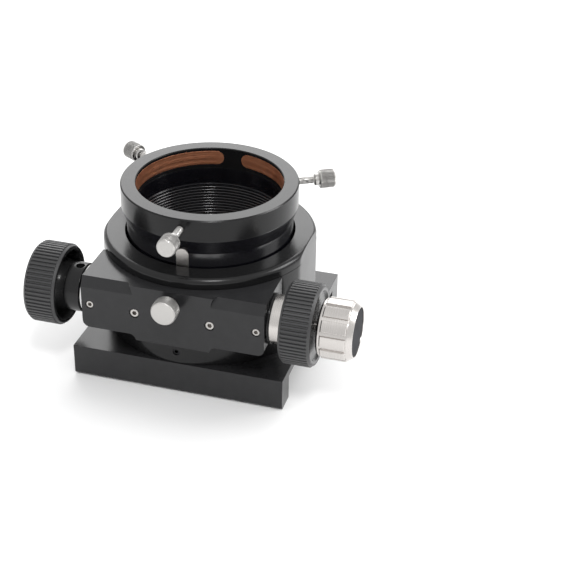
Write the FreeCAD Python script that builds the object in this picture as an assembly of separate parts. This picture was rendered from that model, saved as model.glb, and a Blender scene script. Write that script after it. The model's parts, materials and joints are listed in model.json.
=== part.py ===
import FreeCAD, Part
import math
import os

# Crayford focuser with a 76.2 mm clamping drawtube and a two-speed drive.
# Millimetres. Z is the optical axis, up out of the telescope; Z = 0 is the
# underside of the feet. X runs along the drive shaft, and the shaft is on the
# -Y side of the drawtube, which is the front.

V = FreeCAD.Vector
X_AXIS = V(1, 0, 0)
Y_AXIS = V(0, 1, 0)
Z_AXIS = V(0, 0, 1)

# Base plate
BASE_HALF = 56.4
BASE_TOP = 17.4
CHANNEL_TOP = 13.2
FOOT_DEPTH = 12.3
BASE_EDGE_CHAMFER = 1.2
BASE_BORE_R = 45.6
FOOT_HOLE_R = 2.1
FOOT_HOLE_DEPTH = 10.0
FOOT_HOLE_X = 46.0
FOOT_HOLE_Y = BASE_HALF - 0.5 * FOOT_DEPTH

# Pivot ring that the body turns on
RING_R = 51.95
RING_TOP = 29.0
RING_SCREW_CIRCLE_R = 48.8
RING_SCREW_HEAD_R = 3.6
RING_SCREW_ANGLES = (45, 135, 225, 315)
SOCKET_KEY = 2.5
RING_GROOVE_Z = 23.8
RING_GROOVE_DEPTH = 2.0
RING_GROOVE_HALF = 1.8
LOCK_SCREW_R = 1.9

# Round body
BODY_R = 55.8
BODY_BORE_R = 44.35
BODY_BOTTOM = BASE_TOP + 0.3
BODY_TOP = 61.9
BODY_FLAT_X = 53.5
COUNTERBORE_R = RING_R + 0.05
COUNTERBORE_TOP = RING_TOP + 0.3
FLANGE_TOP = 67.6
FLANGE_ROUND = 3.0

# Drive shaft line
SHAFT_R = 3.0
SHAFT_Y = -46.5
SHAFT_Z = 47.6
SHAFT_TUNNEL_R = SHAFT_R + 0.6
RUNNING = 0.03

# Drive housing, a saddle on the front of the body
HOUSING_HALF = 48.0
HOUSING_FRONT = -61.0
HOUSING_BACK = -30.5
HOUSING_BOTTOM = 33.7
HOUSING_CORNER_R = 3.6
HOUSING_TONGUE_BOTTOM = 30.6
TONGUE_RUNOUT_X = 23.0
CHAMFER_Y = 3.1
CHAMFER_Z = 5.2
CHAMFER_RUNOUT_X = 28.6
CHAMFER_RUNOUT_R = 8.0
BUSH_R = 8.0
BUSH_LENGTH = 12.0

HOUSING_SCREW_R = 2.0
HOUSING_SCREW_HEAD_R = 3.3
HOUSING_SCREW_LEVELS = (38.6, 56.6)

# Front screws and the lock
BUSH_SCREW_R = 2.2
BUSH_SCREW_X = 43.7
TENSION_SCREW_R = 2.6
TENSION_SCREW_X = 19.8
TENSION_SCREW_Z = 46.2
PAD_HOLE_R = 2.4
PAD_R = 2.2
FRONT_SCREW_Z = 46.9
FRONT_SCREW_Y = HOUSING_FRONT + 0.4
PAD_START = HOUSING_FRONT + 7.45
LOCK_Z = 56.4
LOCK_SHANK_R = 2.5
LOCK_KNOB_R = 6.7
LOCK_KNOB_FACE = HOUSING_FRONT - 12.0
LOCK_KNOB_BACK = HOUSING_FRONT - 4.8

# Drawtube and its clamping head
TUBE_R = 43.5
TUBE_BOTTOM = 10.2
STOP_RING_IN = TUBE_R - 0.9
STOP_RING_Z = TUBE_BOTTOM + 0.4
STOP_RING_HEIGHT = 1.6
CLAMP_BORE_R = 38.1
HEAD_R = 46.05
HEAD_TOP = 95.0
HEAD_BOTTOM = 83.2
CONE_BOTTOM = 75.2
BAFFLE_TOP = 73.9
BAFFLE_BORE_R = 37.4
BAFFLE_GROOVE_R = 38.2
BAFFLE_PITCH = 1.7
BAFFLE_GROOVES = 20
CLAMP_Z = 89.2
SHOE_HEIGHT = 7.8
SHOE_THICKNESS = 1.1
SHOE_GAP_DEG = 14.7
CLAMP_ANGLES = (-90, 30, 150)
CLAMP_SHANK_R = 2.0
CLAMP_COLLAR_R = 3.2
CLAMP_HEAD_R = 5.0
CLAMP_COLLAR_START = 55.4
CLAMP_HEAD_START = 58.2
CLAMP_HEAD_END = 66.5

LOCK_SHANK_END = -TUBE_R - 3.5

# Steel drive strip let into the drawtube
STRIP_WIDTH = 6.6
STRIP_THICKNESS = 1.5
STRIP_BOTTOM = 14.0
STRIP_TOP = 77.1
STRIP_SCREW_R = 1.0
STRIP_SCREW_HEAD_R = 1.9

# Guide bearings behind the drawtube
BEARING_R = 4.5
BEARING_WIDTH = 3.5
BEARING_GAP = 0.04
BEARING_ANGLES = (55, 125)
BEARING_LEVELS = (36.0, 55.0)
BEARING_PIN_R = 1.5
BEARING_PIN_LENGTH = 12.0
BEARING_CENTRE_R = TUBE_R + BEARING_GAP + BEARING_R

# Knobs
KNOB_R = 21.05
KNOB_CORE_R = 19.4
KNOB_RIBS = 60
RIB_DEPTH = 0.8
LEFT_KNOB_INNER = -60.7
LEFT_KNOB_OUTER = -77.2
HUB_R = 12.7
HUB_START = -50.7
HUB_SCREW_R = 2.2
HUB_SCREW_X = HUB_START - 3.0
HUB_SCREW_TILT = 2
DISH_DEPTH = 4.5
FLARE_LENGTH = 6.8
FLARE_R = KNOB_CORE_R - 3.4
FLARE_RISE = FLARE_R - HUB_R + 0.35
FLARE_STEPS = 6
FACE_RECESS = 0.8
CAP_R = 7.9
CAP_SEAT = 3.0
GRIP_LIP = 1.3
COARSE_INNER = 56.2
COARSE_OUTER = 72.2
COLLAR_R = 12.5
COLLAR_START = HOUSING_HALF + 1.5
HOUSING_RING_R = 12.9
WASHER_R = 12.3
WASHER_START = -HOUSING_HALF - 2.0
FINE_R = 15.4
FINE_INNER = 73.4
FINE_OUTER = 91.6
FINE_PANELS = 12
FINE_PANEL_TURN = 12.0
PANEL_RISE = 0.9
PANEL_GAP = 0.9
FINE_CAP_R = 12.35
FINE_SCREW_R = 1.25
FINE_SCREW_X = FINE_OUTER - 6.0
FINE_SCREW_TILT = 147.0
REDUCER_BALLS = 5
BALL_R = 1.55
BALL_PITCH_R = 4.3
BALL_X = COARSE_INNER + 5.6
SUN_R = BALL_PITCH_R - BALL_R - 0.02
SLEEVE_R = 9.6
SLEEVE_BORE_R = 8.5


def cylinder(radius, start, length, axis=Z_AXIS):
    """A solid cylinder from a start point along an axis."""
    return Part.makeCylinder(radius, length, start, axis)


def tube(outer, inner, start, length, axis=Z_AXIS):
    """A plain ring: a cylinder with a through bore."""
    return cylinder(outer, start, length, axis).cut(cylinder(inner, start, length, axis))


def box(low, high):
    """A box between two opposite corners."""
    return Part.makeBox(high[0] - low[0], high[1] - low[1], high[2] - low[2], V(*low))


def turned(points):
    """A solid of revolution about Z from (radius, height) points."""
    wire = Part.makePolygon([V(r, 0, z) for r, z in points] + [V(points[0][0], 0, points[0][1])])
    return Part.Face(wire).revolve(V(0, 0, 0), Z_AXIS, 360)


def lay_along_x(shape, x, y=SHAFT_Y, z=SHAFT_Z):
    """Turns a Z-axis shape to point along +X and puts its foot at (x, y, z)."""
    laid = shape.copy()
    laid.rotate(V(0, 0, 0), Y_AXIS, 90)
    laid.translate(V(x, y, z))
    return laid


def on_shaft(points):
    """A piece turned about the drive shaft from (radius, x) points."""
    return lay_along_x(turned(points), 0)


def shaft_ring(outer, inner, x_start, x_end):
    """A plain ring about the drive shaft."""
    return tube(outer, inner, V(x_start, SHAFT_Y, SHAFT_Z), x_end - x_start, X_AXIS)


def radial(shape, angle, radius, height):
    """Turns a Z-axis shape to point outwards at an angle round the drawtube."""
    placed = shape.copy()
    placed.rotate(V(0, 0, 0), Y_AXIS, 90)
    placed.translate(V(radius, 0, height))
    placed.rotate(V(0, 0, 0), Z_AXIS, angle)
    return placed


def hexagon(across_flats, start, depth, axis):
    """A hexagonal prism for a key socket."""
    corner_r = across_flats / math.sqrt(3)
    points = [V(corner_r * math.cos(math.radians(60 * i)), corner_r * math.sin(math.radians(60 * i)), 0)
              for i in range(7)]
    prism = Part.Face(Part.makePolygon(points)).extrude(V(0, 0, depth))
    prism.Placement = FreeCAD.Placement(start, FreeCAD.Rotation(Z_AXIS, axis))
    return prism


def set_screw(radius, start, length, axis, key):
    """A headless screw whose key socket is sunk in its outer end, at start."""
    edge = 0.2 * radius
    outer = V(start)
    body = cylinder(radius, outer, length, axis)
    body = body.makeChamfer(edge, [body.Edges[0], body.Edges[2]])
    return body.cut(hexagon(key, outer, 0.45 * length, axis))


def cap_screw(head_r, head_h, shank_r, length, key):
    """A socket screw along Z: shank from 0 up, head below 0."""
    shank = cylinder(shank_r, V(0, 0, -0.1), length + 0.1)
    head = cylinder(head_r, V(0, 0, -head_h), head_h)
    return head.fuse(shank).removeSplitter().cut(hexagon(key, V(0, 0, -head_h), 0.6 * head_h, Z_AXIS))


def ribbed_ring(outer, inner, depth, ribs, x_start, x_end):
    """A grip ring about the shaft with flat-topped ribs round its rim."""
    points = []
    pitch = 360.0 / ribs
    for i in range(ribs):
        for part, radius in ((0.0, outer), (0.42, outer), (0.56, outer - depth), (0.86, outer - depth)):
            angle = math.radians((i + part) * pitch)
            points.append(V(radius * math.cos(angle), radius * math.sin(angle), 0))
    points.append(points[0])
    ring = Part.Face(Part.makePolygon(points)).extrude(V(0, 0, x_end - x_start))
    ring = ring.cut(cylinder(inner, V(0, 0, -1), x_end - x_start + 2))
    return lay_along_x(ring, x_start)


def shaft_tunnel(radius, x_start, x_end):
    """A cylinder on the shaft line, used to open holes for the shaft."""
    return cylinder(radius, V(x_start, SHAFT_Y, SHAFT_Z), x_end - x_start, X_AXIS)


def front_hole(radius, x, z, y_start, y_end):
    """A cylinder parallel to Y, used for holes in from the front."""
    return cylinder(radius, V(x, y_start, z), y_end - y_start, Y_AXIS)


# ---- Base -------------------------------------------------------------------

def make_base_plate():
    """Square plate on two long feet, with blind threaded holes in the feet."""
    half = BASE_HALF
    plate = box((-half, -half, 0), (half, half, BASE_TOP))
    inner = half - FOOT_DEPTH
    plate = plate.cut(box((-half - 1, -inner, -1), (half + 1, inner, CHANNEL_TOP)))
    low_edges = []
    for edge in plate.Edges:
        box_of = edge.BoundBox
        if box_of.ZMax < 0.01 and box_of.XLength > half and abs(abs(box_of.YMin) - half) < 0.01:
            low_edges.append(edge)
    plate = plate.makeChamfer(BASE_EDGE_CHAMFER, low_edges)
    plate = plate.cut(cylinder(BASE_BORE_R, V(0, 0, 0), BASE_TOP + 1))
    for sx in (-1, 1):
        for sy in (-1, 1):
            foot = V(sx * FOOT_HOLE_X, sy * FOOT_HOLE_Y, 0)
            plate = plate.cut(cylinder(FOOT_HOLE_R, foot, FOOT_HOLE_DEPTH))
    for angle in RING_SCREW_ANGLES:
        plate = plate.cut(ring_screw(angle, 2.25))
    return plate


def ring_screw(angle, shank_r=2.0):
    """One screw up through the plate's web into the pivot ring."""
    screw = cap_screw(RING_SCREW_HEAD_R, 2.4, shank_r, 11.0, SOCKET_KEY)
    a = math.radians(angle)
    screw.translate(V(RING_SCREW_CIRCLE_R * math.cos(a), RING_SCREW_CIRCLE_R * math.sin(a), CHANNEL_TOP))
    return screw


def make_base_ring():
    """Pivot ring with the V groove that the rotation lock screws bear in."""
    inner = BASE_BORE_R
    low = BASE_TOP
    groove_low = RING_GROOVE_Z - RING_GROOVE_HALF
    groove_high = RING_GROOVE_Z + RING_GROOVE_HALF
    ring = turned([(inner, low), (RING_R, low), (RING_R, groove_low),
                   (RING_R - RING_GROOVE_DEPTH, RING_GROOVE_Z), (RING_R, groove_high),
                   (RING_R, RING_TOP - 0.6), (RING_R - 0.6, RING_TOP), (inner, RING_TOP)])
    for angle in RING_SCREW_ANGLES:
        ring = ring.cut(ring_screw(angle))
    return ring


# ---- Body -------------------------------------------------------------------

def flat_sides(height_low, height_high):
    """The band between the body's two side flats."""
    return box((-BODY_FLAT_X, -2 * BODY_R, height_low), (BODY_FLAT_X, 2 * BODY_R, height_high))


def bearing_pocket(angle, level):
    """Pocket and pin hole for one guide bearing."""
    width = BEARING_WIDTH + 0.8
    reach = BEARING_R + 0.7
    low = (BODY_BORE_R - 2, -0.5 * width, level - reach)
    high = (BEARING_CENTRE_R + reach, 0.5 * width, level + reach)
    pocket = box(low, high)
    pocket.rotate(V(0, 0, 0), Z_AXIS, angle)
    return pocket.fuse(bearing_pin(angle, level))


def bearing_pin(angle, level):
    """Axle pin of one guide bearing, square to the radius through it."""
    start = V(BEARING_CENTRE_R, -0.5 * BEARING_PIN_LENGTH, level)
    pin = cylinder(BEARING_PIN_R, start, BEARING_PIN_LENGTH, Y_AXIS)
    pin.rotate(V(0, 0, 0), Z_AXIS, angle)
    return pin


def make_guide_bearing(angle, level):
    """Shielded ball bearing: one ring with stepped side faces."""
    half = 0.5 * BEARING_WIDTH
    bore = BEARING_PIN_R + RUNNING
    shield = half - 0.25
    shield_in = 2.4
    shield_out = 3.5
    edge = 0.2
    race = turned([(bore, -half), (shield_in, -half), (shield_in, -shield), (shield_out, -shield),
                   (shield_out, -half), (BEARING_R - edge, -half), (BEARING_R, edge - half),
                   (BEARING_R, half - edge), (BEARING_R - edge, half), (shield_out, half),
                   (shield_out, shield), (shield_in, shield), (shield_in, half), (bore, half)])
    race.rotate(V(0, 0, 0), X_AXIS, 90)
    race.translate(V(BEARING_CENTRE_R, 0, level))
    race.rotate(V(0, 0, 0), Z_AXIS, angle)
    return race


def rotation_lock_screw(angle):
    """Cone-point screw in the body's skirt that bears in the ring's groove."""
    tip_r = RING_R - RING_GROOVE_DEPTH + 0.7
    length = 4.6
    profile = turned([(0, 0), (0.4, 0), (LOCK_SCREW_R, 1.4), (LOCK_SCREW_R, length), (0, length)])
    screw = radial(profile, angle, tip_r, RING_GROOVE_Z)
    a = math.radians(angle)
    out = V(math.cos(a), math.sin(a), 0)
    mouth = out * (tip_r + length)
    mouth.z = RING_GROOVE_Z
    return screw.cut(hexagon(1.9, mouth, 1.8, out * -1))


def make_focuser_body():
    """Round body with side flats, shaft tunnel, bearing pockets and a skirt."""
    body = cylinder(BODY_R, V(0, 0, BODY_BOTTOM), BODY_TOP - BODY_BOTTOM)
    body = body.common(flat_sides(0, BODY_TOP))
    body = body.cut(cylinder(BODY_BORE_R, V(0, 0, 0), BODY_TOP + 1))
    body = body.cut(cylinder(COUNTERBORE_R, V(0, 0, 0), COUNTERBORE_TOP))
    body = body.cut(shaft_tunnel(SHAFT_TUNNEL_R, -BODY_R, BODY_R))
    for angle in BEARING_ANGLES:
        for level in BEARING_LEVELS:
            body = body.cut(bearing_pocket(angle, level))
    for angle in CLAMP_ANGLES:
        hole = cylinder(LOCK_SCREW_R, V(0, 0, -3), 12)
        body = body.cut(radial(hole, angle, BODY_R - 2, RING_GROOVE_Z))
    body = body.cut(front_hole(LOCK_SHANK_R + 0.05, 0, LOCK_Z, -BODY_R - 1, -BODY_BORE_R + 2))
    for x in (-TENSION_SCREW_X, TENSION_SCREW_X):
        body = body.cut(front_hole(PAD_HOLE_R, x, SHAFT_Z, -BODY_R - 1, SHAFT_Y))
    for screw in housing_screw_list():
        body = body.cut(screw)
    return body


def make_top_flange():
    """Rounded top ring that closes the body round the drawtube."""
    ring = cylinder(BODY_R, V(0, 0, BODY_TOP), FLANGE_TOP - BODY_TOP)
    top = [edge for edge in ring.Edges if edge.BoundBox.ZMin > FLANGE_TOP - 0.01]
    ring = ring.makeFillet(FLANGE_ROUND, top)
    ring = ring.cut(cylinder(BODY_BORE_R, V(0, 0, 0), FLANGE_TOP + 1))
    return ring.common(flat_sides(BODY_TOP, FLANGE_TOP + 1))


# ---- Drive housing ----------------------------------------------------------

def housing_block():
    """Block with a lower tongue in the middle and rounded lower outer corners."""
    half = HOUSING_HALF
    block = box((-half, HOUSING_FRONT, HOUSING_TONGUE_BOTTOM), (half, HOUSING_BACK, BODY_TOP))
    corner = HOUSING_CORNER_R
    for side in (-1, 1):
        inner = side * TONGUE_RUNOUT_X
        outer = side * (half + 1)
        low = (min(inner, outer), HOUSING_FRONT - 1, 0)
        high = (max(inner, outer), HOUSING_BACK + 1, HOUSING_BOTTOM)
        block = block.cut(box(low, high))
        block = block.cut(front_hole(corner, inner, HOUSING_BOTTOM - corner, low[1], high[1]))
    rounded = [edge for edge in block.Edges
               if abs(edge.BoundBox.ZMax - HOUSING_BOTTOM) < 0.01 and edge.BoundBox.YLength > 10
               and abs(abs(edge.BoundBox.XMin) - half) < 0.01]
    return block.makeFillet(corner, rounded)


def wing_chamfer(side):
    """Tool for one wing's front top chamfer, with the cutter's round run-out."""
    front = HOUSING_FRONT
    low = BODY_TOP - CHAMFER_Z
    start = CHAMFER_RUNOUT_X
    length = HOUSING_HALF + 1 - start
    rise = CHAMFER_Z / CHAMFER_Y
    points = [V(0, front - 1, low - rise), V(0, front + CHAMFER_Y + 1, BODY_TOP + rise),
              V(0, front - 8, BODY_TOP + 8)]
    wedge = Part.Face(Part.makePolygon(points + [points[0]])).extrude(V(length, 0, 0))
    wedge.translate(V(start if side > 0 else -start - length, 0, 0))
    slope = math.hypot(CHAMFER_Y, CHAMFER_Z)
    normal = V(0, -CHAMFER_Z / slope, CHAMFER_Y / slope)
    foot = V(side * start, front, low)
    return wedge.fuse(cylinder(CHAMFER_RUNOUT_R, foot, 12, normal))


def housing_screw_list():
    """Four screws from inside the body's wall out into the housing's wings."""
    screws = []
    for angle in (-90 - 30, -90 + 30):
        for level in HOUSING_SCREW_LEVELS:
            screw = cap_screw(HOUSING_SCREW_HEAD_R, 2.8, HOUSING_SCREW_R, 14.0, SOCKET_KEY)
            screws.append(radial(screw, angle, BODY_BORE_R + 3.1, level))
    return screws


def make_drive_housing():
    """Saddle that carries the shaft's bushes in its two wings."""
    block = housing_block()
    for side in (-1, 1):
        block = block.cut(wing_chamfer(side))
    block = block.cut(cylinder(BODY_R + 0.02, V(0, 0, 0), BODY_TOP + 1))
    block = block.cut(shaft_tunnel(SHAFT_TUNNEL_R, -HOUSING_HALF - 1, HOUSING_HALF + 1))
    for side in (-1, 1):
        start = HOUSING_HALF - BUSH_LENGTH if side > 0 else -HOUSING_HALF - 1
        block = block.cut(shaft_tunnel(BUSH_R, start, start + BUSH_LENGTH + 1))
        bush_x = side * BUSH_SCREW_X
        pad_x = side * TENSION_SCREW_X
        block = block.cut(front_hole(BUSH_SCREW_R, bush_x, FRONT_SCREW_Z, HOUSING_FRONT - 1, SHAFT_Y))
        block = block.cut(front_hole(TENSION_SCREW_R, pad_x, TENSION_SCREW_Z, HOUSING_FRONT - 1, PAD_START))
        block = block.cut(front_hole(PAD_HOLE_R, pad_x, SHAFT_Z, PAD_START, SHAFT_Y))
    block = block.cut(front_hole(LOCK_SHANK_R + 0.05, 0, LOCK_Z, HOUSING_FRONT - 1, -BODY_R + 2))
    for screw in housing_screw_list():
        block = block.cut(screw)
    return block


def make_bush(side):
    """Bronze bush in one wing, running on the shaft."""
    start = HOUSING_HALF - BUSH_LENGTH if side > 0 else -HOUSING_HALF
    ring = shaft_ring(BUSH_R, SHAFT_R + RUNNING, start, start + BUSH_LENGTH)
    return ring.cut(cylinder(BODY_R + 0.02, V(0, 0, 0), BODY_TOP))


def make_bush_screws():
    """Two set screws that hold the bushes."""
    length = abs(HOUSING_FRONT) - abs(SHAFT_Y) - BUSH_R - 0.5
    starts = [V(side * BUSH_SCREW_X, FRONT_SCREW_Y, FRONT_SCREW_Z) for side in (-1, 1)]
    return Part.makeCompound([set_screw(BUSH_SCREW_R, start, length, Y_AXIS, 2.0) for start in starts])


def make_tension_screws():
    """Two set screws that load the shaft against the drawtube."""
    starts = [V(side * TENSION_SCREW_X, FRONT_SCREW_Y, TENSION_SCREW_Z) for side in (-1, 1)]
    return Part.makeCompound([set_screw(TENSION_SCREW_R, start, 7.0, Y_AXIS, 2.2) for start in starts])


def make_tension_pads():
    """Plungers between the tension screws and the shaft."""
    pads = []
    for side in (-1, 1):
        pad = front_hole(PAD_R, side * TENSION_SCREW_X, SHAFT_Z, PAD_START, SHAFT_Y)
        pads.append(pad.cut(shaft_tunnel(SHAFT_R + 0.05, -30, 30)))
    return Part.makeCompound(pads)


# ---- Lock -------------------------------------------------------------------

def make_lock_knob():
    """Knurled thumb knob on its threaded shank."""
    radius = LOCK_KNOB_R
    thick = LOCK_KNOB_BACK - LOCK_KNOB_FACE
    rise = abs(LOCK_KNOB_FACE) - abs(LOCK_SHANK_END)
    edge = 0.8
    boss_r = LOCK_SHANK_R + 1.2
    boss = thick + 1.3
    knob = turned([(0, 0), (radius - edge, 0), (radius, edge), (radius, thick - edge),
                   (radius - edge, thick), (boss_r, thick), (boss_r, boss), (LOCK_SHANK_R, boss),
                   (LOCK_SHANK_R, rise), (0, rise)])
    knob.rotate(V(0, 0, 0), X_AXIS, -90)
    knob.translate(V(0, LOCK_KNOB_FACE, LOCK_Z))
    return knob


def make_lock_tip():
    """Nylon tip that presses on the drawtube's strip."""
    return front_hole(LOCK_SHANK_R - 0.4, 0, LOCK_Z, LOCK_SHANK_END, LOCK_SHANK_END + 3.4)


# ---- Drawtube ---------------------------------------------------------------

def strip_shape(extra):
    """The drive strip's outline with a round top, grown by extra all round."""
    half = 0.5 * STRIP_WIDTH + extra
    top = STRIP_TOP - 0.5 * STRIP_WIDTH
    back = -TUBE_R + STRIP_THICKNESS + extra
    depth = STRIP_THICKNESS + extra
    bar = box((-half, back - depth, STRIP_BOTTOM - extra), (half, back, top))
    return bar.fuse(cylinder(half, V(0, back, top), depth, V(0, -1, 0))).removeSplitter()


def strip_screw_points():
    """Where the two countersunk screws of the drive strip go."""
    return (STRIP_BOTTOM + 5.0, STRIP_TOP - 18.0)


def strip_screw(z, extra=0.0):
    """One countersunk screw, flush with the strip's face."""
    face = -TUBE_R
    head = STRIP_SCREW_HEAD_R + extra
    shank = STRIP_SCREW_R + extra
    screw = turned([(0, 0), (head, 0), (head, 0.3), (shank, 1.2), (shank, 4.4), (0, 4.4)])
    screw.rotate(V(0, 0, 0), X_AXIS, -90)
    screw.translate(V(0, face + 0.15, z))
    return screw


def make_drive_strip():
    """Ground steel strip that the shaft rolls on."""
    strip = strip_shape(0.0)
    for z in strip_screw_points():
        strip = strip.cut(strip_screw(z, 0.03))
        strip = strip.cut(front_hole(STRIP_SCREW_HEAD_R + 0.03, 0, z, -TUBE_R - 1, -TUBE_R + 0.2))
    return strip


def make_strip_screws():
    """The two strip screws."""
    return Part.makeCompound([strip_screw(z) for z in strip_screw_points()])


def make_drawtube():
    """Tube with a flared top, baffle grooves inside and a slot for the strip."""
    bore = CLAMP_BORE_R
    profile = [(TUBE_R, TUBE_BOTTOM), (TUBE_R, CONE_BOTTOM), (HEAD_R, HEAD_BOTTOM), (bore, HEAD_BOTTOM),
               (bore, BAFFLE_TOP), (BAFFLE_BORE_R, BAFFLE_TOP)]
    for i in range(BAFFLE_GROOVES):
        top = BAFFLE_TOP - 0.9 - i * BAFFLE_PITCH
        profile += [(BAFFLE_BORE_R, top), (BAFFLE_GROOVE_R, top - 0.45), (BAFFLE_BORE_R, top - 0.9)]
    profile.append((BAFFLE_BORE_R, TUBE_BOTTOM))
    body = turned(profile)
    body = body.cut(strip_shape(0.05))
    half = 0.5 * STRIP_WIDTH
    body = body.cut(box((-half, -TUBE_R - 2, CONE_BOTTOM - 6), (half, -TUBE_R, STRIP_TOP - half)))
    body = body.cut(cylinder(half, V(0, -TUBE_R, STRIP_TOP - half), 3, V(0, -1, 0)))
    for z in strip_screw_points():
        body = body.cut(strip_screw(z))
    return body.cut(tube(TUBE_R + 1, STOP_RING_IN, V(0, 0, STOP_RING_Z), STOP_RING_HEIGHT))


def make_stop_ring():
    """Split snap ring that stops the tube against the lower bearings."""
    ring = tube(TUBE_R + 0.55, STOP_RING_IN, V(0, 0, STOP_RING_Z), STOP_RING_HEIGHT)
    ring = ring.cut(box((-2.5, 40, 0), (2.5, 50, 30)))
    return ring.cut(box((-5.0, -50, 0), (5.0, -40, 30)))


def shoe_blank(angle, inner, outer, height):
    """A curved bar with round ends, centred on one clamp screw."""
    end_r = 0.5 * height
    half_span = 0.5 * (120 - SHOE_GAP_DEG)
    end_deg = math.degrees(math.asin(end_r / CLAMP_BORE_R))
    sweep = half_span - end_deg
    ring = tube(outer, inner, V(0, 0, CLAMP_Z - end_r), height)
    blank = Part.makeCylinder(outer + 5, height, V(0, 0, CLAMP_Z - end_r), Z_AXIS, 2 * sweep)
    blank.rotate(V(0, 0, 0), Z_AXIS, angle - sweep)
    for turn in (-sweep, sweep):
        blank = blank.fuse(radial(cylinder(end_r, V(0, 0, 0), 20), angle + turn, 30, CLAMP_Z))
    return blank.common(ring)


def make_clamp_head():
    """Head ring with three slots for the shoes and three tapped holes."""
    chamfer = 0.6
    lead_in = 0.4
    head = turned([(CLAMP_BORE_R, HEAD_BOTTOM), (HEAD_R, HEAD_BOTTOM), (HEAD_R, HEAD_TOP - chamfer),
                   (HEAD_R - chamfer, HEAD_TOP), (CLAMP_BORE_R + lead_in, HEAD_TOP),
                   (CLAMP_BORE_R, HEAD_TOP - lead_in)])
    for angle in CLAMP_ANGLES:
        outer = CLAMP_BORE_R + SHOE_THICKNESS + 0.15
        head = head.cut(shoe_blank(angle, CLAMP_BORE_R - 1, outer, SHOE_HEIGHT + 0.2))
        head = head.cut(radial(cylinder(CLAMP_SHANK_R + 0.05, V(0, 0, 0), 12), angle, 36, CLAMP_Z))
    return head


def make_clamp_shoes():
    """Three copper-alloy shoes flush with the clamp bore."""
    outer = CLAMP_BORE_R + SHOE_THICKNESS
    shoes = [shoe_blank(angle, CLAMP_BORE_R, outer, SHOE_HEIGHT) for angle in CLAMP_ANGLES]
    return Part.makeCompound(shoes)


def make_clamp_screw(angle):
    """Thumbscrew: knurled head, collar and shank."""
    start = CLAMP_BORE_R + SHOE_THICKNESS + 0.1
    profile = [(0, start), (CLAMP_SHANK_R, start), (CLAMP_SHANK_R, CLAMP_COLLAR_START),
               (CLAMP_COLLAR_R, CLAMP_COLLAR_START + 0.4), (CLAMP_COLLAR_R, CLAMP_HEAD_START - 0.5),
               (CLAMP_COLLAR_R - 0.5, CLAMP_HEAD_START), (CLAMP_HEAD_R - 0.6, CLAMP_HEAD_START),
               (CLAMP_HEAD_R, CLAMP_HEAD_START + 0.6), (CLAMP_HEAD_R, CLAMP_HEAD_END - 0.7),
               (CLAMP_HEAD_R - 0.7, CLAMP_HEAD_END), (0, CLAMP_HEAD_END)]
    return radial(turned(profile), angle, 0, CLAMP_Z)


# ---- Shaft, knobs and reducer ----------------------------------------------

def make_drive_shaft():
    """Steel shaft from the left knob through both bushes to the ball carrier."""
    start = LEFT_KNOB_OUTER + 5.0
    end = COARSE_INNER + 2.8
    return shaft_tunnel(SHAFT_R, start, end)


def make_left_knob_core():
    """Left knob's metal core: hub neck, dished web and rim."""
    rim_in = LEFT_KNOB_INNER
    out = LEFT_KNOB_OUTER
    bore = SHAFT_R
    dish = rim_in - DISH_DEPTH
    face = out + FACE_RECESS
    seat = out + CAP_SEAT
    flare = []
    for i in range(FLARE_STEPS + 1):
        turn = math.radians(90.0 * i / FLARE_STEPS)
        flare.append((FLARE_R - FLARE_RISE * math.cos(turn), dish + FLARE_LENGTH * (1 - math.sin(turn))))
    core = on_shaft([(bore, HUB_START), (HUB_R - 0.5, HUB_START), (HUB_R, HUB_START - 0.5),
                     (HUB_R, dish + FLARE_LENGTH)] + flare +
                    [(KNOB_CORE_R - 2.6, dish), (KNOB_CORE_R - 1.2, rim_in), (KNOB_CORE_R, rim_in),
                     (KNOB_CORE_R, out), (KNOB_CORE_R - 2.0, out), (KNOB_CORE_R - 3.0, face),
                     (CAP_R + 0.1, face), (CAP_R + 0.1, seat), (bore, seat)])
    return core.cut(hub_screw_space())


def hub_screw_space():
    """Hole for the left hub's set screw, on top of the hub at rest."""
    hole = cylinder(HUB_SCREW_R, V(0, 0, SHAFT_R), HUB_R)
    hole.rotate(V(0, 0, 0), X_AXIS, HUB_SCREW_TILT)
    hole.translate(V(HUB_SCREW_X, SHAFT_Y, SHAFT_Z))
    return hole


def make_left_hub_screw():
    """Set screw that fixes the left knob on the shaft."""
    top = HUB_R - 1.6
    screw = set_screw(HUB_SCREW_R, V(0, 0, top), top - SHAFT_R - 0.02, V(0, 0, -1), 2.0)
    screw.rotate(V(0, 0, 0), X_AXIS, HUB_SCREW_TILT)
    screw.translate(V(HUB_SCREW_X, SHAFT_Y, SHAFT_Z))
    return screw


def knob_grip(x_start, x_end):
    """Grip ring: ribbed band between two plain chamfered lips."""
    low = min(x_start, x_end)
    high = max(x_start, x_end)
    band = ribbed_ring(KNOB_R, KNOB_CORE_R, RIB_DEPTH, KNOB_RIBS, low + GRIP_LIP, high - GRIP_LIP)
    lips = []
    for inner, outer in ((low + GRIP_LIP, low), (high - GRIP_LIP, high)):
        lips.append(on_shaft([(KNOB_CORE_R, inner), (KNOB_R - 0.45, inner),
                              (KNOB_R - 1.1, outer), (KNOB_CORE_R, outer)]))
    return band.fuse(lips).removeSplitter()


def make_left_knob_cap():
    """Screw head cap over the end of the shaft."""
    low = LEFT_KNOB_OUTER + 0.9
    high = LEFT_KNOB_OUTER + 2.4
    return on_shaft([(0, low), (CAP_R, low), (CAP_R, high), (0, high)])


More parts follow.
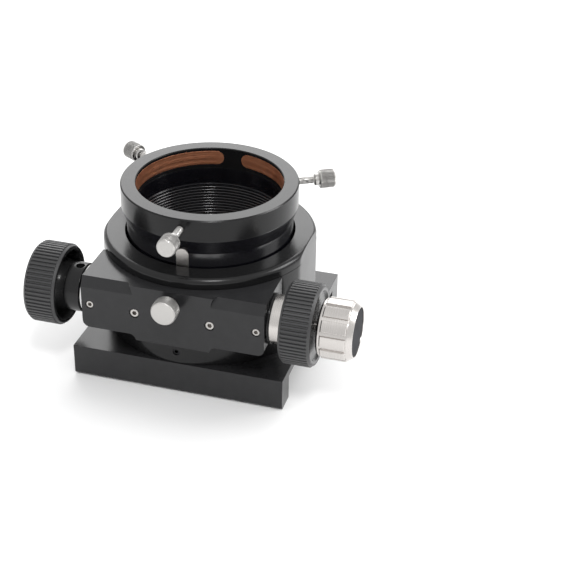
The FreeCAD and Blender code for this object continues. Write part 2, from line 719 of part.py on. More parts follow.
def make_coarse_knob_core():
    """Right coarse knob's core, hollow round the reducer's sleeve."""
    low = COARSE_INNER
    high = COARSE_OUTER
    return on_shaft([(10.0, low + 1.6), (KNOB_CORE_R - 1.6, low), (KNOB_CORE_R, low), (KNOB_CORE_R, high),
                     (KNOB_CORE_R - 1.6, high), (KNOB_CORE_R - 2.4, high - 1.0), (4.0, high - 1.0),
                     (4.0, high - 1.6), (9.4, high - 1.6), (9.4, high - 4.0), (10.0, high - 4.0)])


def make_reducer_collar():
    """Fixed collar and sleeve that hold the reducer's outer race."""
    start = COLLAR_START
    sleeve_end = COARSE_OUTER - 4.6
    return on_shaft([(SHAFT_TUNNEL_R, start), (COLLAR_R - 0.4, start), (COLLAR_R, start + 0.4),
                     (COLLAR_R, COARSE_INNER - 1.1), (COLLAR_R - 0.4, COARSE_INNER - 0.7),
                     (SLEEVE_R, COARSE_INNER - 0.7), (SLEEVE_R, sleeve_end), (SLEEVE_BORE_R, sleeve_end),
                     (SLEEVE_BORE_R, COARSE_INNER + 3.4),
                     (6.2, COARSE_INNER + 3.4), (6.2, COARSE_INNER + 0.6),
                     (SHAFT_TUNNEL_R, COARSE_INNER + 0.6)])


def make_reducer_race():
    """Hardened outer race, pressed in the sleeve."""
    start = COARSE_INNER + 3.4
    mid = start + 2.2
    inner = BALL_PITCH_R + BALL_R + 0.02
    end = start + 4.4
    return on_shaft([(inner + 0.5, start), (SLEEVE_BORE_R, start), (SLEEVE_BORE_R, end), (inner + 0.5, end),
                     (inner, mid + 0.6), (inner, mid - 0.6)])


def make_spring_washer():
    """Wave washer that preloads the race."""
    start = COARSE_INNER + 7.9
    return shaft_ring(8.3, 6.2, start, start + 0.8)


def reducer_ball_list():
    """The reducer's planet balls."""
    balls = []
    for i in range(REDUCER_BALLS):
        angle = math.radians(90 + 360.0 * i / REDUCER_BALLS)
        y = SHAFT_Y + BALL_PITCH_R * math.cos(angle)
        z = SHAFT_Z + BALL_PITCH_R * math.sin(angle)
        balls.append(Part.makeSphere(BALL_R, V(BALL_X, y, z)))
    return balls


def make_ball_carrier():
    """Slotted cup on the shaft's end that the balls drive."""
    low = COARSE_INNER + 1.0
    floor = COARSE_INNER + 2.9
    high = COARSE_OUTER - 1.7
    cup = on_shaft([(SHAFT_R, low), (5.2, low), (5.2, high - 2.2), (9.3, high - 2.2), (9.3, high),
                    (3.4, high), (3.4, floor), (SHAFT_R, floor)])
    for i in range(REDUCER_BALLS):
        hole = cylinder(BALL_R + 0.05, V(0, 0, 0), 8)
        hole.rotate(V(0, 0, 0), X_AXIS, 360.0 * i / REDUCER_BALLS)
        hole.translate(V(BALL_X, SHAFT_Y, SHAFT_Z))
        cup = cup.cut(hole)
    return cup


def make_sun_shaft():
    """Fine shaft: the sun that the balls roll on, out to the fine knob."""
    low = COARSE_INNER + 3.1
    return shaft_tunnel(SUN_R, low, FINE_OUTER - 3.0)


def make_fine_knob():
    """Fine knob with raised panels, a front recess and a shaft bore."""
    low = FINE_INNER
    high = FINE_OUTER
    base_r = FINE_R - PANEL_RISE
    recess_r = FINE_CAP_R + 0.05
    recess = high - 1.4
    knob = on_shaft([(SUN_R, low), (base_r - 1.0, low), (base_r, low + 1.0), (base_r, high - 2.6),
                     (recess_r + 0.5, high), (recess_r, high), (recess_r, recess), (SUN_R, recess)])
    panel_low = low + 2.2
    panel_high = high - 3.0
    ring = shaft_ring(FINE_R, base_r - 0.5, panel_low, panel_high)
    for i in range(FINE_PANELS):
        gap = box((panel_low - 1, -PANEL_GAP, base_r), (panel_high + 1, PANEL_GAP, FINE_R + 2))
        gap.rotate(V(0, 0, 0), X_AXIS, 360.0 * i / FINE_PANELS + FINE_PANEL_TURN)
        gap.translate(V(0, SHAFT_Y, SHAFT_Z))
        ring = ring.cut(gap)
    knob = knob.fuse(ring).removeSplitter()
    return knob.cut(fine_screw_space())


def fine_screw_space():
    """Hole for the fine knob's set screw, underneath near its front."""
    hole = cylinder(FINE_SCREW_R, V(0, 0, 2.0), FINE_R)
    hole.rotate(V(0, 0, 0), X_AXIS, FINE_SCREW_TILT)
    hole.translate(V(FINE_SCREW_X, SHAFT_Y, SHAFT_Z))
    return hole


def make_fine_screw():
    """Set screw that fixes the fine knob on the sun shaft."""
    top = FINE_R - 2.2
    screw = set_screw(FINE_SCREW_R, V(0, 0, top), top - SUN_R - 0.05, V(0, 0, -1), 1.3)
    screw.rotate(V(0, 0, 0), X_AXIS, FINE_SCREW_TILT)
    screw.translate(V(FINE_SCREW_X, SHAFT_Y, SHAFT_Z))
    return screw


def make_fine_cap():
    """Dark end plate set in the fine knob's front."""
    low = FINE_OUTER - 1.4
    high = FINE_OUTER - 0.5
    return on_shaft([(0, low), (FINE_CAP_R, low), (FINE_CAP_R, high), (0, high)])


def build_nodes():
    """Every node of the focuser by name."""
    nodes = {
        "base_plate": make_base_plate(),
        "base_ring": make_base_ring(),
        "base_ring_screws": Part.makeCompound([ring_screw(a) for a in RING_SCREW_ANGLES]),
        "focuser_body": make_focuser_body(),
        "top_flange": make_top_flange(),
        "drive_housing": make_drive_housing(),
        "housing_screws": Part.makeCompound(housing_screw_list()),
        "rotation_lock_screws": Part.makeCompound([rotation_lock_screw(a) for a in CLAMP_ANGLES]),
        "bush_left": make_bush(-1),
        "bush_right": make_bush(1),
        "bush_screws": make_bush_screws(),
        "tension_screws": make_tension_screws(),
        "tension_pads": make_tension_pads(),
        "thrust_washer": shaft_ring(WASHER_R, SHAFT_R + 0.2, WASHER_START, -HOUSING_HALF),
        "housing_ring": shaft_ring(HOUSING_RING_R, SHAFT_TUNNEL_R, HOUSING_HALF, COLLAR_START),
        "reducer_collar": make_reducer_collar(),
        "reducer_race": make_reducer_race(),
        "spring_washer": make_spring_washer(),
        "drawtube": make_drawtube(),
        "clamp_head": make_clamp_head(),
        "clamp_shoes": make_clamp_shoes(),
        "drive_strip": make_drive_strip(),
        "strip_screws": make_strip_screws(),
        "stop_ring": make_stop_ring(),
        "drive_shaft": make_drive_shaft(),
        "left_knob_core": make_left_knob_core(),
        "left_knob_grip": knob_grip(LEFT_KNOB_INNER, LEFT_KNOB_OUTER),
        "left_knob_cap": make_left_knob_cap(),
        "left_hub_screw": make_left_hub_screw(),
        "coarse_knob_core": make_coarse_knob_core(),
        "coarse_knob_grip": knob_grip(COARSE_INNER, COARSE_OUTER),
        "ball_carrier": make_ball_carrier(),
        "reducer_balls": Part.makeCompound(reducer_ball_list()),
        "sun_shaft": make_sun_shaft(),
        "fine_knob": make_fine_knob(),
        "fine_knob_cap": make_fine_cap(),
        "fine_knob_screw": make_fine_screw(),
        "lock_knob": make_lock_knob(),
        "lock_tip": make_lock_tip(),
    }
    pins = []
    for i, angle in enumerate(BEARING_ANGLES):
        for j, level in enumerate(BEARING_LEVELS):
            nodes["guide_bearing_%d" % (2 * i + j + 1)] = make_guide_bearing(angle, level)
            pins.append(bearing_pin(angle, level))
    nodes["bearing_pins"] = Part.makeCompound(pins)
    for i, angle in enumerate(CLAMP_ANGLES):
        nodes["clamp_screw_%d" % (i + 1)] = make_clamp_screw(angle)
    return nodes


os.makedirs("parts", exist_ok=True)
for name, shape in build_nodes().items():
    solids = shape.Solids
    good = all(solid.isValid() and solid.isClosed() for solid in solids)
    print(name, len(solids), round(shape.Volume, 1), "ok" if good else "BAD")
    shape.exportStep("parts/%s.step" % name)
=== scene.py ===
"""Looks of a two-speed Crayford focuser. It is laid out as a Blender add-on and run as a script.

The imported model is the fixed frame. Pieces that need a finer surface than the frame gives are
computed here with numpy and stand for the frame's node; every other node keeps its shape and gets
a finish. Lengths in the settings are metres.
"""
import json
import math

import bmesh
import bpy
import numpy as np
from mathutils import Matrix, Vector


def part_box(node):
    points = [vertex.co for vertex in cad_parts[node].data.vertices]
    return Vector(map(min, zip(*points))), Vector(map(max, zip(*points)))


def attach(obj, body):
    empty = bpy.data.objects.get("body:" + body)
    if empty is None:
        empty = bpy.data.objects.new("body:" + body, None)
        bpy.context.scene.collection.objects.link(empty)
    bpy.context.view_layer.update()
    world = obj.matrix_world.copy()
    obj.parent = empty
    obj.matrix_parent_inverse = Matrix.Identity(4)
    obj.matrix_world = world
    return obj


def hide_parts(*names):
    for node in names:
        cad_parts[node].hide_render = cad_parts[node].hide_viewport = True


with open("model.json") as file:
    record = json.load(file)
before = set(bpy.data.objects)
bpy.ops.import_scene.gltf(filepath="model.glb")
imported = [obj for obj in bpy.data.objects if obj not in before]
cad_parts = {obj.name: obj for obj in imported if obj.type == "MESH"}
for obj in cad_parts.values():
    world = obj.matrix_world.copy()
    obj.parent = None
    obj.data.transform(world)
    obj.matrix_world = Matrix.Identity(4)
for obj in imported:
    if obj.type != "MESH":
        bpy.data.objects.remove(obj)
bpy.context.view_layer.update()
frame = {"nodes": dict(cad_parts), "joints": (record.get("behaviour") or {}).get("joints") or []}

bl_info = {
    "name": "Crayford focuser looks",
    "version": (1, 0, 0),
    "blender": (4, 5, 0),
    "location": "View3D > Sidebar > Focuser",
    "description": "Surfaces, finishes and stage of a two-speed telescope focuser",
    "category": "Object",
}

MM = 0.001
JOINT = {joint["name"]: joint for joint in frame["joints"]}
SHAFT_Y, SHAFT_Z = JOINT["coarse_focus"]["pos_m"][1:]
LOCK_Z = JOINT["lock_turn"]["pos_m"][2]
CLAMP_Z = JOINT["clamp_1_turn"]["pos_m"][2]
CLAMP_AXES = [JOINT["clamp_%d_turn" % n]["axis"] for n in (1, 2, 3)]


def span(node, axis):
    """Lowest and highest coordinate of a frame node along one axis."""
    low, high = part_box(node)
    return low[axis], high[axis]


def shaft_radius(node):
    """Outer radius of a node that is turned about the drive shaft."""
    low, high = span(node, 2)
    return 0.5 * (high - low)


# ---- Settings ---------------------------------------------------------------

def length(name, description, default):
    return bpy.props.FloatProperty(name=name, description=description, default=default, min=0.0,
                                   precision=5, subtype="DISTANCE", unit="LENGTH")


def colour(name, description, default):
    return bpy.props.FloatVectorProperty(name=name, description=description, default=default, size=3,
                                         min=0.0, max=1.0, subtype="COLOR")


def swing(name, description, degrees):
    return bpy.props.FloatProperty(name=name, description=description, default=math.radians(degrees),
                                   subtype="ANGLE", unit="ROTATION")


def whole(name, description, default):
    return bpy.props.IntProperty(name=name, description=description, default=default, min=1)


def level(name, description, default):
    return bpy.props.FloatProperty(name=name, description=description, default=default, min=0.0)


class FocuserSizes(bpy.types.PropertyGroup):
    """Sizes of the surfaces that are computed here."""
    clamp_bore: length("Clamp bore radius", "Radius of the bore that the accessory goes in", 0.0381)
    edge_round: length("Edge round", "Radius of the broken edges on machined parts", 0.0003)
    tube_radius: length("Drawtube radius", "Outer radius of the drawtube below its flare", 0.0435)
    cone_bottom: length("Flare foot", "Height where the drawtube's flare starts", 0.0752)
    baffle_top: length("Baffle top", "Height where the baffle grooves start", 0.0739)
    baffle_pitch: length("Baffle pitch", "Distance from one baffle groove to the next", 0.0017)
    baffle_depth: length("Baffle depth", "Depth of a baffle groove", 0.0008)
    baffle_count: whole("Baffle count", "Baffle grooves down the drawtube", 20)
    shoe_height: length("Shoe height", "Height of a clamp shoe", 0.0078)
    shoe_gap: swing("Shoe gap", "Angle between the ends of two shoes", 14.7)
    grip_ribs: whole("Grip ribs", "Ribs round a coarse knob", 60)
    rib_depth: length("Rib depth", "Depth of the grooves between grip ribs", 0.0008)
    fine_panels: whole("Fine panels", "Raised panels round the fine knob", 12)
    panel_turn: swing("Panel turn", "Turn of the panels toward the front", 12.0)
    panel_rise: length("Panel rise", "Height of a fine knob panel above its groove", 0.0009)
    knurl_rows: whole("Knurl rows", "Knurl diamonds round a thumbscrew", 28)
    knurl_pitch: length("Knurl pitch", "Length of a knurl diamond along the knob", 0.00115)
    knurl_depth: length("Knurl depth", "Depth of the diamond knurl", 0.00042)


class FocuserFinishes(bpy.types.PropertyGroup):
    """Colours of the finishes."""
    black: colour("Black anodised", "Dyed black aluminium", (0.007, 0.007, 0.0074))
    inside: colour("Bore black", "Flat black inside the drawtube", (0.003, 0.003, 0.0045))
    silver: colour("Silver aluminium", "Clear anodised aluminium", (0.58, 0.555, 0.535))
    nickel: colour("Nickel", "Plated thumbscrews", (0.5, 0.49, 0.475))
    steel: colour("Steel", "Ground stainless steel", (0.52, 0.5, 0.48))
    copper: colour("Shoe alloy", "Copper alloy clamp shoes", (0.72, 0.32, 0.18))
    bronze: colour("Bush bronze", "Sintered bronze bushes", (0.52, 0.36, 0.19))
    rubber: colour("Grip rubber", "Moulded grips of the coarse knobs", (0.018, 0.018, 0.019))
    nylon: colour("Nylon", "White washer, pads and tip", (0.8, 0.8, 0.79))
    oxide: colour("Black oxide", "Black screws", (0.03, 0.03, 0.032))


class FocuserStage(bpy.types.PropertyGroup):
    """Floor, light and camera."""
    floor_tone: level("Floor tone", "How pale the floor is", 0.94)
    sky: level("Tent light", "Strength of the even light all round", 0.9)
    back_light: level("Back light", "Power of the softbox behind, in watts", 8.5)
    side_light: level("Side light", "Power of the right-hand softbox, in watts", 4.0)
    front_light: level("Front light", "Power of the small front softbox, in watts", 4.5)
    lens_mm: level("Lens", "Focal length in millimetres on a 36 mm sensor", 87.02)


def sizes():
    return bpy.context.scene.focuser_sizes


def finishes():
    return bpy.context.scene.focuser_finishes


def stage():
    return bpy.context.scene.focuser_stage


# ---- Surfaces ---------------------------------------------------------------

def rounded(corners, radius, steps=4):
    """Closed outline with its corners turned into arcs.

    Each arc touches both sides at radius / tan(half the corner's angle) from the corner, cut down
    to 0.45 of the shorter side, and its points run round the arc's centre on the bisector. A corner
    on the axis stays sharp.
    """
    points = np.asarray(corners, float)
    radius = np.where(points[:, 0] < 1e-7, 0.0, radius)
    before = np.roll(points, 1, 0) - points
    after = np.roll(points, -1, 0) - points
    len_before = np.linalg.norm(before, axis=1)
    len_after = np.linalg.norm(after, axis=1)
    u = before / len_before[:, None]
    v = after / len_after[:, None]
    half = 0.5 * np.arccos(np.clip((u * v).sum(1), -0.9999, 0.9999))
    setback = np.minimum(radius / np.tan(half), 0.45 * np.minimum(len_before, len_after))
    r = setback * np.tan(half)
    bisector = (u + v) / np.linalg.norm(u + v, axis=1)[:, None]
    centre = points + bisector * (r / np.sin(half))[:, None]
    start = points + u * setback[:, None] - centre
    end = points + v * setback[:, None] - centre
    t = np.linspace(0, 1, steps + 1)[None, :, None]
    arc = start[:, None, :] * (1 - t) + end[:, None, :] * t
    arc *= (r[:, None] / np.maximum(np.linalg.norm(arc, axis=2), 1e-12))[:, :, None]
    return (centre[:, None, :] + arc).reshape(-1, 2)


def densified(profile, low, high, step):
    """The outline with extra points every step along its sides, where their height is in a range."""
    closed = np.vstack([profile, profile[:1]])
    out = []
    for a, b in zip(closed[:-1], closed[1:]):
        mid = 0.5 * (a[1] + b[1])
        count = max(1, int(np.linalg.norm(b - a) / step)) if low <= mid <= high or (
            min(a[1], b[1]) < low and max(a[1], b[1]) > high) else 1
        t = np.arange(count)[:, None] / count
        out.append(a + (b - a) * t)
    return np.vstack(out)


def clustered_angles(base, centres, half_width, step):
    """Angles once round: base even ones, and fine ones within half_width of each centre."""
    angles = [np.arange(base) * (2 * np.pi / base)]
    for centre in centres:
        angles.append(centre + np.arange(-half_width, half_width + step, step))
    merged = np.unique(np.round(np.mod(np.concatenate(angles), 2 * np.pi), 6))
    keep = np.concatenate([[True], np.diff(merged) > 0.3 * step])
    return merged[keep]


def lathe(profile, angles=180, relief=None):
    """Points and faces of a closed outline (radius, height) carried round an axis.

    Point (i, j) is (r cos a, r sin a, h) with r and h from outline point i and a from angle j; relief,
    a function of the angles, heights and radii, gives the final radii. A row on the axis is merged
    into one pole later.
    """
    turn = np.arange(angles) * (2 * np.pi / angles) if np.isscalar(angles) else angles
    radius = np.repeat(profile[:, :1], len(turn), 1)
    height = np.repeat(profile[:, 1:], len(turn), 1)
    around = np.repeat(turn[None, :], len(profile), 0)
    if relief is not None:
        radius = relief(around, height, radius)
    grid = np.stack([radius * np.cos(around), radius * np.sin(around), height], 2)
    hollow = max(profile[0, 0], profile[-1, 0]) > 1e-7
    return grid.reshape(-1, 3), grid_faces(len(profile), len(turn), hollow, True)


def grid_faces(rows, columns, close_rows, close_columns):
    """Quads of a rows by columns grid, joined end to end where asked."""
    i = np.arange(rows if close_rows else rows - 1)[:, None]
    j = np.arange(columns if close_columns else columns - 1)[None, :]
    down = (i + 1) % rows
    right = (j + 1) % columns
    quads = np.stack([i * columns + j, i * columns + right, down * columns + right,
                      down * columns + j], 2)
    return quads.reshape(-1, 4)


def about_shaft(points):
    """Lathe points about the drive shaft: height becomes X."""
    return np.stack([points[:, 2], SHAFT_Y + points[:, 0], SHAFT_Z + points[:, 1]], 1)


def about_lock(points):
    """Lathe points about the lock screw: height becomes distance towards the front."""
    return np.stack([points[:, 0], -points[:, 2], LOCK_Z + points[:, 1]], 1)


def about_clamp(axis):
    """Lathe points about one clamp screw: height becomes distance out from the optical axis."""
    out = np.array(axis)
    side = np.array([-out[1], out[0], 0.0])

    def place(points):
        up = np.array([0.0, 0.0, 1.0])
        foot = CLAMP_Z * up
        return points[:, 2:3] * out + points[:, 0:1] * side + points[:, 1:2] * up + foot

    return place


def piece(name, points, faces, body, material, replaced=(), weld=1e-6, smooth=35.0):
    """Makes the mesh object, welds its doubles, turns its faces outwards and ties it to its body."""
    mesh = bpy.data.meshes.new(name)
    mesh.from_pydata(points.tolist(), [], faces.tolist())
    work = bmesh.new()
    work.from_mesh(mesh)
    bmesh.ops.remove_doubles(work, verts=work.verts, dist=weld)
    bmesh.ops.dissolve_degenerate(work, dist=weld, edges=work.edges)
    bmesh.ops.recalc_face_normals(work, faces=work.faces)
    work.to_mesh(mesh)
    work.free()
    mesh.shade_smooth()
    mesh.set_sharp_from_angle(angle=math.radians(smooth))
    mesh.materials.append(material)
    obj = bpy.data.objects.new(name, mesh)
    bpy.context.scene.collection.objects.link(obj)
    weighted = obj.modifiers.new("Weighted normals", "WEIGHTED_NORMAL")
    weighted.keep_sharp = True
    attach(obj, body)
    if replaced:
        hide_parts(*replaced)
    return obj


def eased_copy(node, name, width, material, body):
    """A frame node's shape with its flat faces joined and its edges broken by a small bevel."""
    source = frame["nodes"][node]
    work = bmesh.new()
    work.from_mesh(source.data)
    bmesh.ops.remove_doubles(work, verts=work.verts, dist=2e-6)
    bmesh.ops.dissolve_limit(work, angle_limit=math.radians(1.0), verts=work.verts, edges=work.edges,
                             use_dissolve_boundaries=False)
    mesh = bpy.data.meshes.new(name)
    work.to_mesh(mesh)
    work.free()
    mesh.shade_smooth()
    mesh.set_sharp_from_angle(angle=math.radians(25))
    mesh.materials.append(material)
    obj = bpy.data.objects.new(name, mesh)
    bpy.context.scene.collection.objects.link(obj)
    bevel = obj.modifiers.new("Broken edges", "BEVEL")
    bevel.width = width
    bevel.segments = 2
    bevel.limit_method = "ANGLE"
    bevel.angle_limit = math.radians(25)
    bevel.harden_normals = False
    weighted = obj.modifiers.new("Weighted normals", "WEIGHTED_NORMAL")
    weighted.keep_sharp = False
    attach(obj, body)
    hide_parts(node)
    return obj


def smoothstep(low, high, value):
    """0 below low, 1 above high, and a smooth cubic between."""
    t = np.clip((value - low) / (high - low), 0, 1)
    return t * t * (3 - 2 * t)


def wrapped(angle):
    """The angle brought between minus half a turn and half a turn."""
    return np.mod(angle + np.pi, 2 * np.pi) - np.pi


# ---- Finishes ---------------------------------------------------------------

SHAFT_TURNING = ((0.0, SHAFT_Y, SHAFT_Z), 0)
OPTICAL_TURNING = ((0.0, 0.0, 0.0), 2)
LOCK_TURNING = ((0.0, 0.0, LOCK_Z), 1)


class Nodes:
    """A new material's node tree, with short ways to add what the finishes use."""

    def __init__(self, name):
        self.material = bpy.data.materials.new(name)
        self.material.use_nodes = True
        self.tree = self.material.node_tree
        self.shader = self.tree.nodes["Principled BSDF"]
        self.position = self.tree.nodes.new("ShaderNodeTexCoord").outputs["Object"]

    def add(self, kind, **settings):
        node = self.tree.nodes.new(kind)
        for key, value in settings.items():
            setattr(node, key, value)
        return node

    def link(self, source, target):
        self.tree.links.new(source, target)

    def math(self, operation, a, b=0.0):
        node = self.add("ShaderNodeMath", operation=operation)
        for socket, value in zip(node.inputs, (a, b)):
            if isinstance(value, bpy.types.NodeSocket):
                self.link(value, socket)
            else:
                socket.default_value = value
        return node.outputs[0]

    def mapped(self, location=(0, 0, 0), scale=(1, 1, 1), rotation=(0, 0, 0)):
        node = self.add("ShaderNodeMapping")
        node.inputs["Location"].default_value = location
        node.inputs["Scale"].default_value = scale
        node.inputs["Rotation"].default_value = rotation
        self.link(self.position, node.inputs["Vector"])
        return node.outputs[0]

    def noise(self, vector, scale, detail=2.0, rough=0.5):
        node = self.add("ShaderNodeTexNoise")
        self.link(vector, node.inputs["Vector"])
        node.inputs["Scale"].default_value = scale
        node.inputs["Detail"].default_value = detail
        node.inputs["Roughness"].default_value = rough
        return node.outputs["Fac"]

    def lines(self, value, scale, detail=3.0):
        """Noise along one value only, which gives lines where the value is even."""
        node = self.add("ShaderNodeTexNoise", noise_dimensions="1D")
        self.link(value, node.inputs["W"])
        node.inputs["Scale"].default_value = scale
        node.inputs["Detail"].default_value = detail
        return node.outputs["Fac"]

    def fit(self, value, low, high, out_low, out_high):
        node = self.add("ShaderNodeMapRange")
        self.link(value, node.inputs["Value"])
        ends = {"From Min": low, "From Max": high, "To Min": out_low, "To Max": out_high}
        for socket, number in ends.items():
            node.inputs[socket].default_value = number
        return node.outputs["Result"]

    def blend(self, factor, a, b):
        node = self.add("ShaderNodeMix", data_type="RGBA")
        self.link(factor, node.inputs["Factor"])
        for socket, value in ((node.inputs[6], a), (node.inputs[7], b)):
            if isinstance(value, bpy.types.NodeSocket):
                self.link(value, socket)
            else:
                socket.default_value = (*value, 1.0)
        return node.outputs[2]

    def bump(self, height, distance, strength=1.0, under=None):
        node = self.add("ShaderNodeBump")
        node.inputs["Distance"].default_value = distance
        node.inputs["Strength"].default_value = strength
        self.link(height, node.inputs["Height"])
        if under is not None:
            self.link(under, node.inputs["Normal"])
        return node.outputs["Normal"]

    def turned_value(self, centre, axis):
        """Radius plus height about a line through centre along an axis: even along a lathe's path."""
        moved = self.mapped(location=tuple(-c for c in centre))
        split = self.add("ShaderNodeSeparateXYZ")
        self.link(moved, split.inputs[0])
        along = split.outputs[axis]
        flat = [split.outputs[i] for i in range(3) if i != axis]
        radius = self.math("SQRT", self.math("ADD", self.math("POWER", flat[0], 2.0),
                                             self.math("POWER", flat[1], 2.0)))
        return self.math("ADD", radius, along)

    def set(self, **values):
        for key, value in values.items():
            self.shader.inputs[key.replace("_", " ")].default_value = value


def shade(colour_value, factor):
    """The colour made lighter or darker."""
    return tuple(min(1.0, channel * factor) for channel in colour_value)


def black_anodised(name, turning=None, lift=1.0, gloss=0.32):
    """Bead-blasted or turned aluminium, dyed black: low gloss with fine grain and tool marks."""
    n = Nodes(name)
    base = shade(finishes().black, lift)
    blotch = n.noise(n.position, 130.0, 3.0)
    grain = n.noise(n.position, 5200.0, 2.0)
    n.link(n.blend(blotch, shade(base, 0.85), shade(base, 1.25)), n.shader.inputs["Base Color"])
    rough = n.math("ADD", n.fit(blotch, 0.3, 0.7, 0.19, 0.23), n.fit(grain, 0.3, 0.7, -0.02, 0.03))
    normal = n.bump(grain, 0.000008, 0.3)
    if turning is not None:
        marks = n.lines(n.turned_value(*turning), 5200.0)
        rough = n.math("ADD", rough, n.fit(marks, 0.3, 0.7, -0.02, 0.03))
        normal = n.bump(marks, 0.000004, 0.3, normal)
    n.link(rough, n.shader.inputs["Roughness"])
    n.link(normal, n.shader.inputs["Normal"])
    n.set(IOR=1.5, Specular_IOR_Level=gloss)
    return n.material


def bore_black(name):
    """Flat black paint with fine tool lines, for the inside of the drawtube."""
    n = Nodes(name)
    base = finishes().inside
    speck = n.noise(n.position, 2600.0, 3.0)
    n.link(n.blend(speck, shade(base, 0.8), shade(base, 1.3)), n.shader.inputs["Base Color"])
    n.link(n.fit(speck, 0.3, 0.7, 0.15, 0.19), n.shader.inputs["Roughness"])
    marks = n.lines(n.turned_value((0, 0, 0), 2), 4200.0)
    n.link(n.bump(marks, 0.000001, 0.2), n.shader.inputs["Normal"])
    n.set(IOR=1.52, Specular_IOR_Level=0.85)
    return n.material


def painted_groove_shade(n, colour_socket):
    """Paints shade into a colour: darkens it by the piece's own groove attribute, which is 1 at the
    foot of its knurl, so the knurl's grooves get painted shade.
    """
    groove = n.add("ShaderNodeAttribute", attribute_name="groove").outputs["Fac"]
    # Painted shade: the colour falls towards 0.12 of itself deep in the knurl's grooves.
    dark = n.blend(n.fit(groove, 0.2, 0.9, 0.0, 0.8), (1, 1, 1), (0.12, 0.12, 0.12))
    mix = n.add("ShaderNodeMix", data_type="RGBA", blend_type="MULTIPLY")
    mix.inputs["Factor"].default_value = 1.0
    n.link(colour_socket, mix.inputs[6])
    n.link(dark, mix.inputs[7])
    return mix.outputs[2]


def turned_metal(name, base, turning, low=0.2, high=0.32, line_scale=5200.0, paint_knurl_shade=False):
    """Bare or plated metal with the fine rings that a lathe leaves."""
    n = Nodes(name)
    marks = n.lines(n.turned_value(*turning), line_scale, 4.0)
    cloud = n.noise(n.position, 240.0, 3.0)
    tone = n.math("ADD", n.math("MULTIPLY", marks, 0.6), n.math("MULTIPLY", cloud, 0.4))
    tint = n.blend(tone, shade(base, 0.94), shade(base, 1.05))
    # With paint_knurl_shade set, the knurl's grooves get painted shade in the base colour.
    n.link(painted_groove_shade(n, tint) if paint_knurl_shade else tint, n.shader.inputs["Base Color"])
    n.link(n.fit(tone, 0.3, 0.7, low, high), n.shader.inputs["Roughness"])
    n.link(n.bump(marks, 0.000008, 0.5), n.shader.inputs["Normal"])
    n.set(Metallic=1.0)
    return n.material


def brushed_metal(name, base, stretch, low=0.24, high=0.4, paint_knurl_shade=False):
    """Ground or brushed metal: noise drawn out along the direction of grinding."""
    n = Nodes(name)
    lines = n.noise(n.mapped(scale=stretch), 1.0, 4.0, 0.6)
    cloud = n.noise(n.position, 300.0, 2.0)
    tone = n.math("ADD", n.math("MULTIPLY", lines, 0.7), n.math("MULTIPLY", cloud, 0.3))
    tint = n.blend(tone, shade(base, 0.75), shade(base, 1.15))
    # With paint_knurl_shade set, the knurl's grooves get painted shade in the base colour.
    n.link(painted_groove_shade(n, tint) if paint_knurl_shade else tint, n.shader.inputs["Base Color"])
    n.link(n.fit(tone, 0.3, 0.7, low, high), n.shader.inputs["Roughness"])
    n.link(n.bump(lines, 0.000015, 0.5), n.shader.inputs["Normal"])
    n.set(Metallic=1.0)
    return n.material


def drawn_copper(name):
    """Copper alloy strip with fine lines along its length, which draw its highlights out upright."""
    n = Nodes(name)
    base = finishes().copper
    lines = n.lines(n.turned_value(*OPTICAL_TURNING), 15000.0, 2.0)
    cloud = n.noise(n.position, 260.0, 3.0)
    n.link(n.blend(cloud, shade(base, 0.88), shade(base, 1.12)), n.shader.inputs["Base Color"])
    n.link(n.fit(cloud, 0.3, 0.7, 0.36, 0.43), n.shader.inputs["Roughness"])
    n.link(n.bump(lines, 0.00008, 1.0), n.shader.inputs["Normal"])
    n.set(Metallic=1.0)
    return n.material


def grip_rubber(name):
    """Matt black moulding with a fine dusty grain."""
    n = Nodes(name)
    base = finishes().rubber
    dust = n.noise(n.position, 900.0, 4.0, 0.6)
    grain = n.noise(n.position, 6400.0, 2.0)
    n.link(n.blend(dust, shade(base, 0.75), shade(base, 1.6)), n.shader.inputs["Base Color"])
    n.link(n.fit(dust, 0.3, 0.7, 0.36, 0.5), n.shader.inputs["Roughness"])
    n.link(n.bump(grain, 0.00002, 0.4), n.shader.inputs["Normal"])
    n.set(IOR=1.62)
    return n.material


def plain_nylon(name):
    """Slightly mottled white nylon."""
    n = Nodes(name)
    base = finishes().nylon
    mottle = n.noise(n.position, 700.0, 3.0)
    n.link(n.blend(mottle, shade(base, 0.93), shade(base, 1.05)), n.shader.inputs["Base Color"])
    n.link(n.fit(mottle, 0.3, 0.7, 0.42, 0.55), n.shader.inputs["Roughness"])
    n.link(n.bump(mottle, 0.00002, 0.3), n.shader.inputs["Normal"])
    return n.material


_made = {}


def finish(name):
    """The finish of that name, made once."""
    if name not in _made:
        _made[name] = FINISHES[name](name)
    return _made[name]


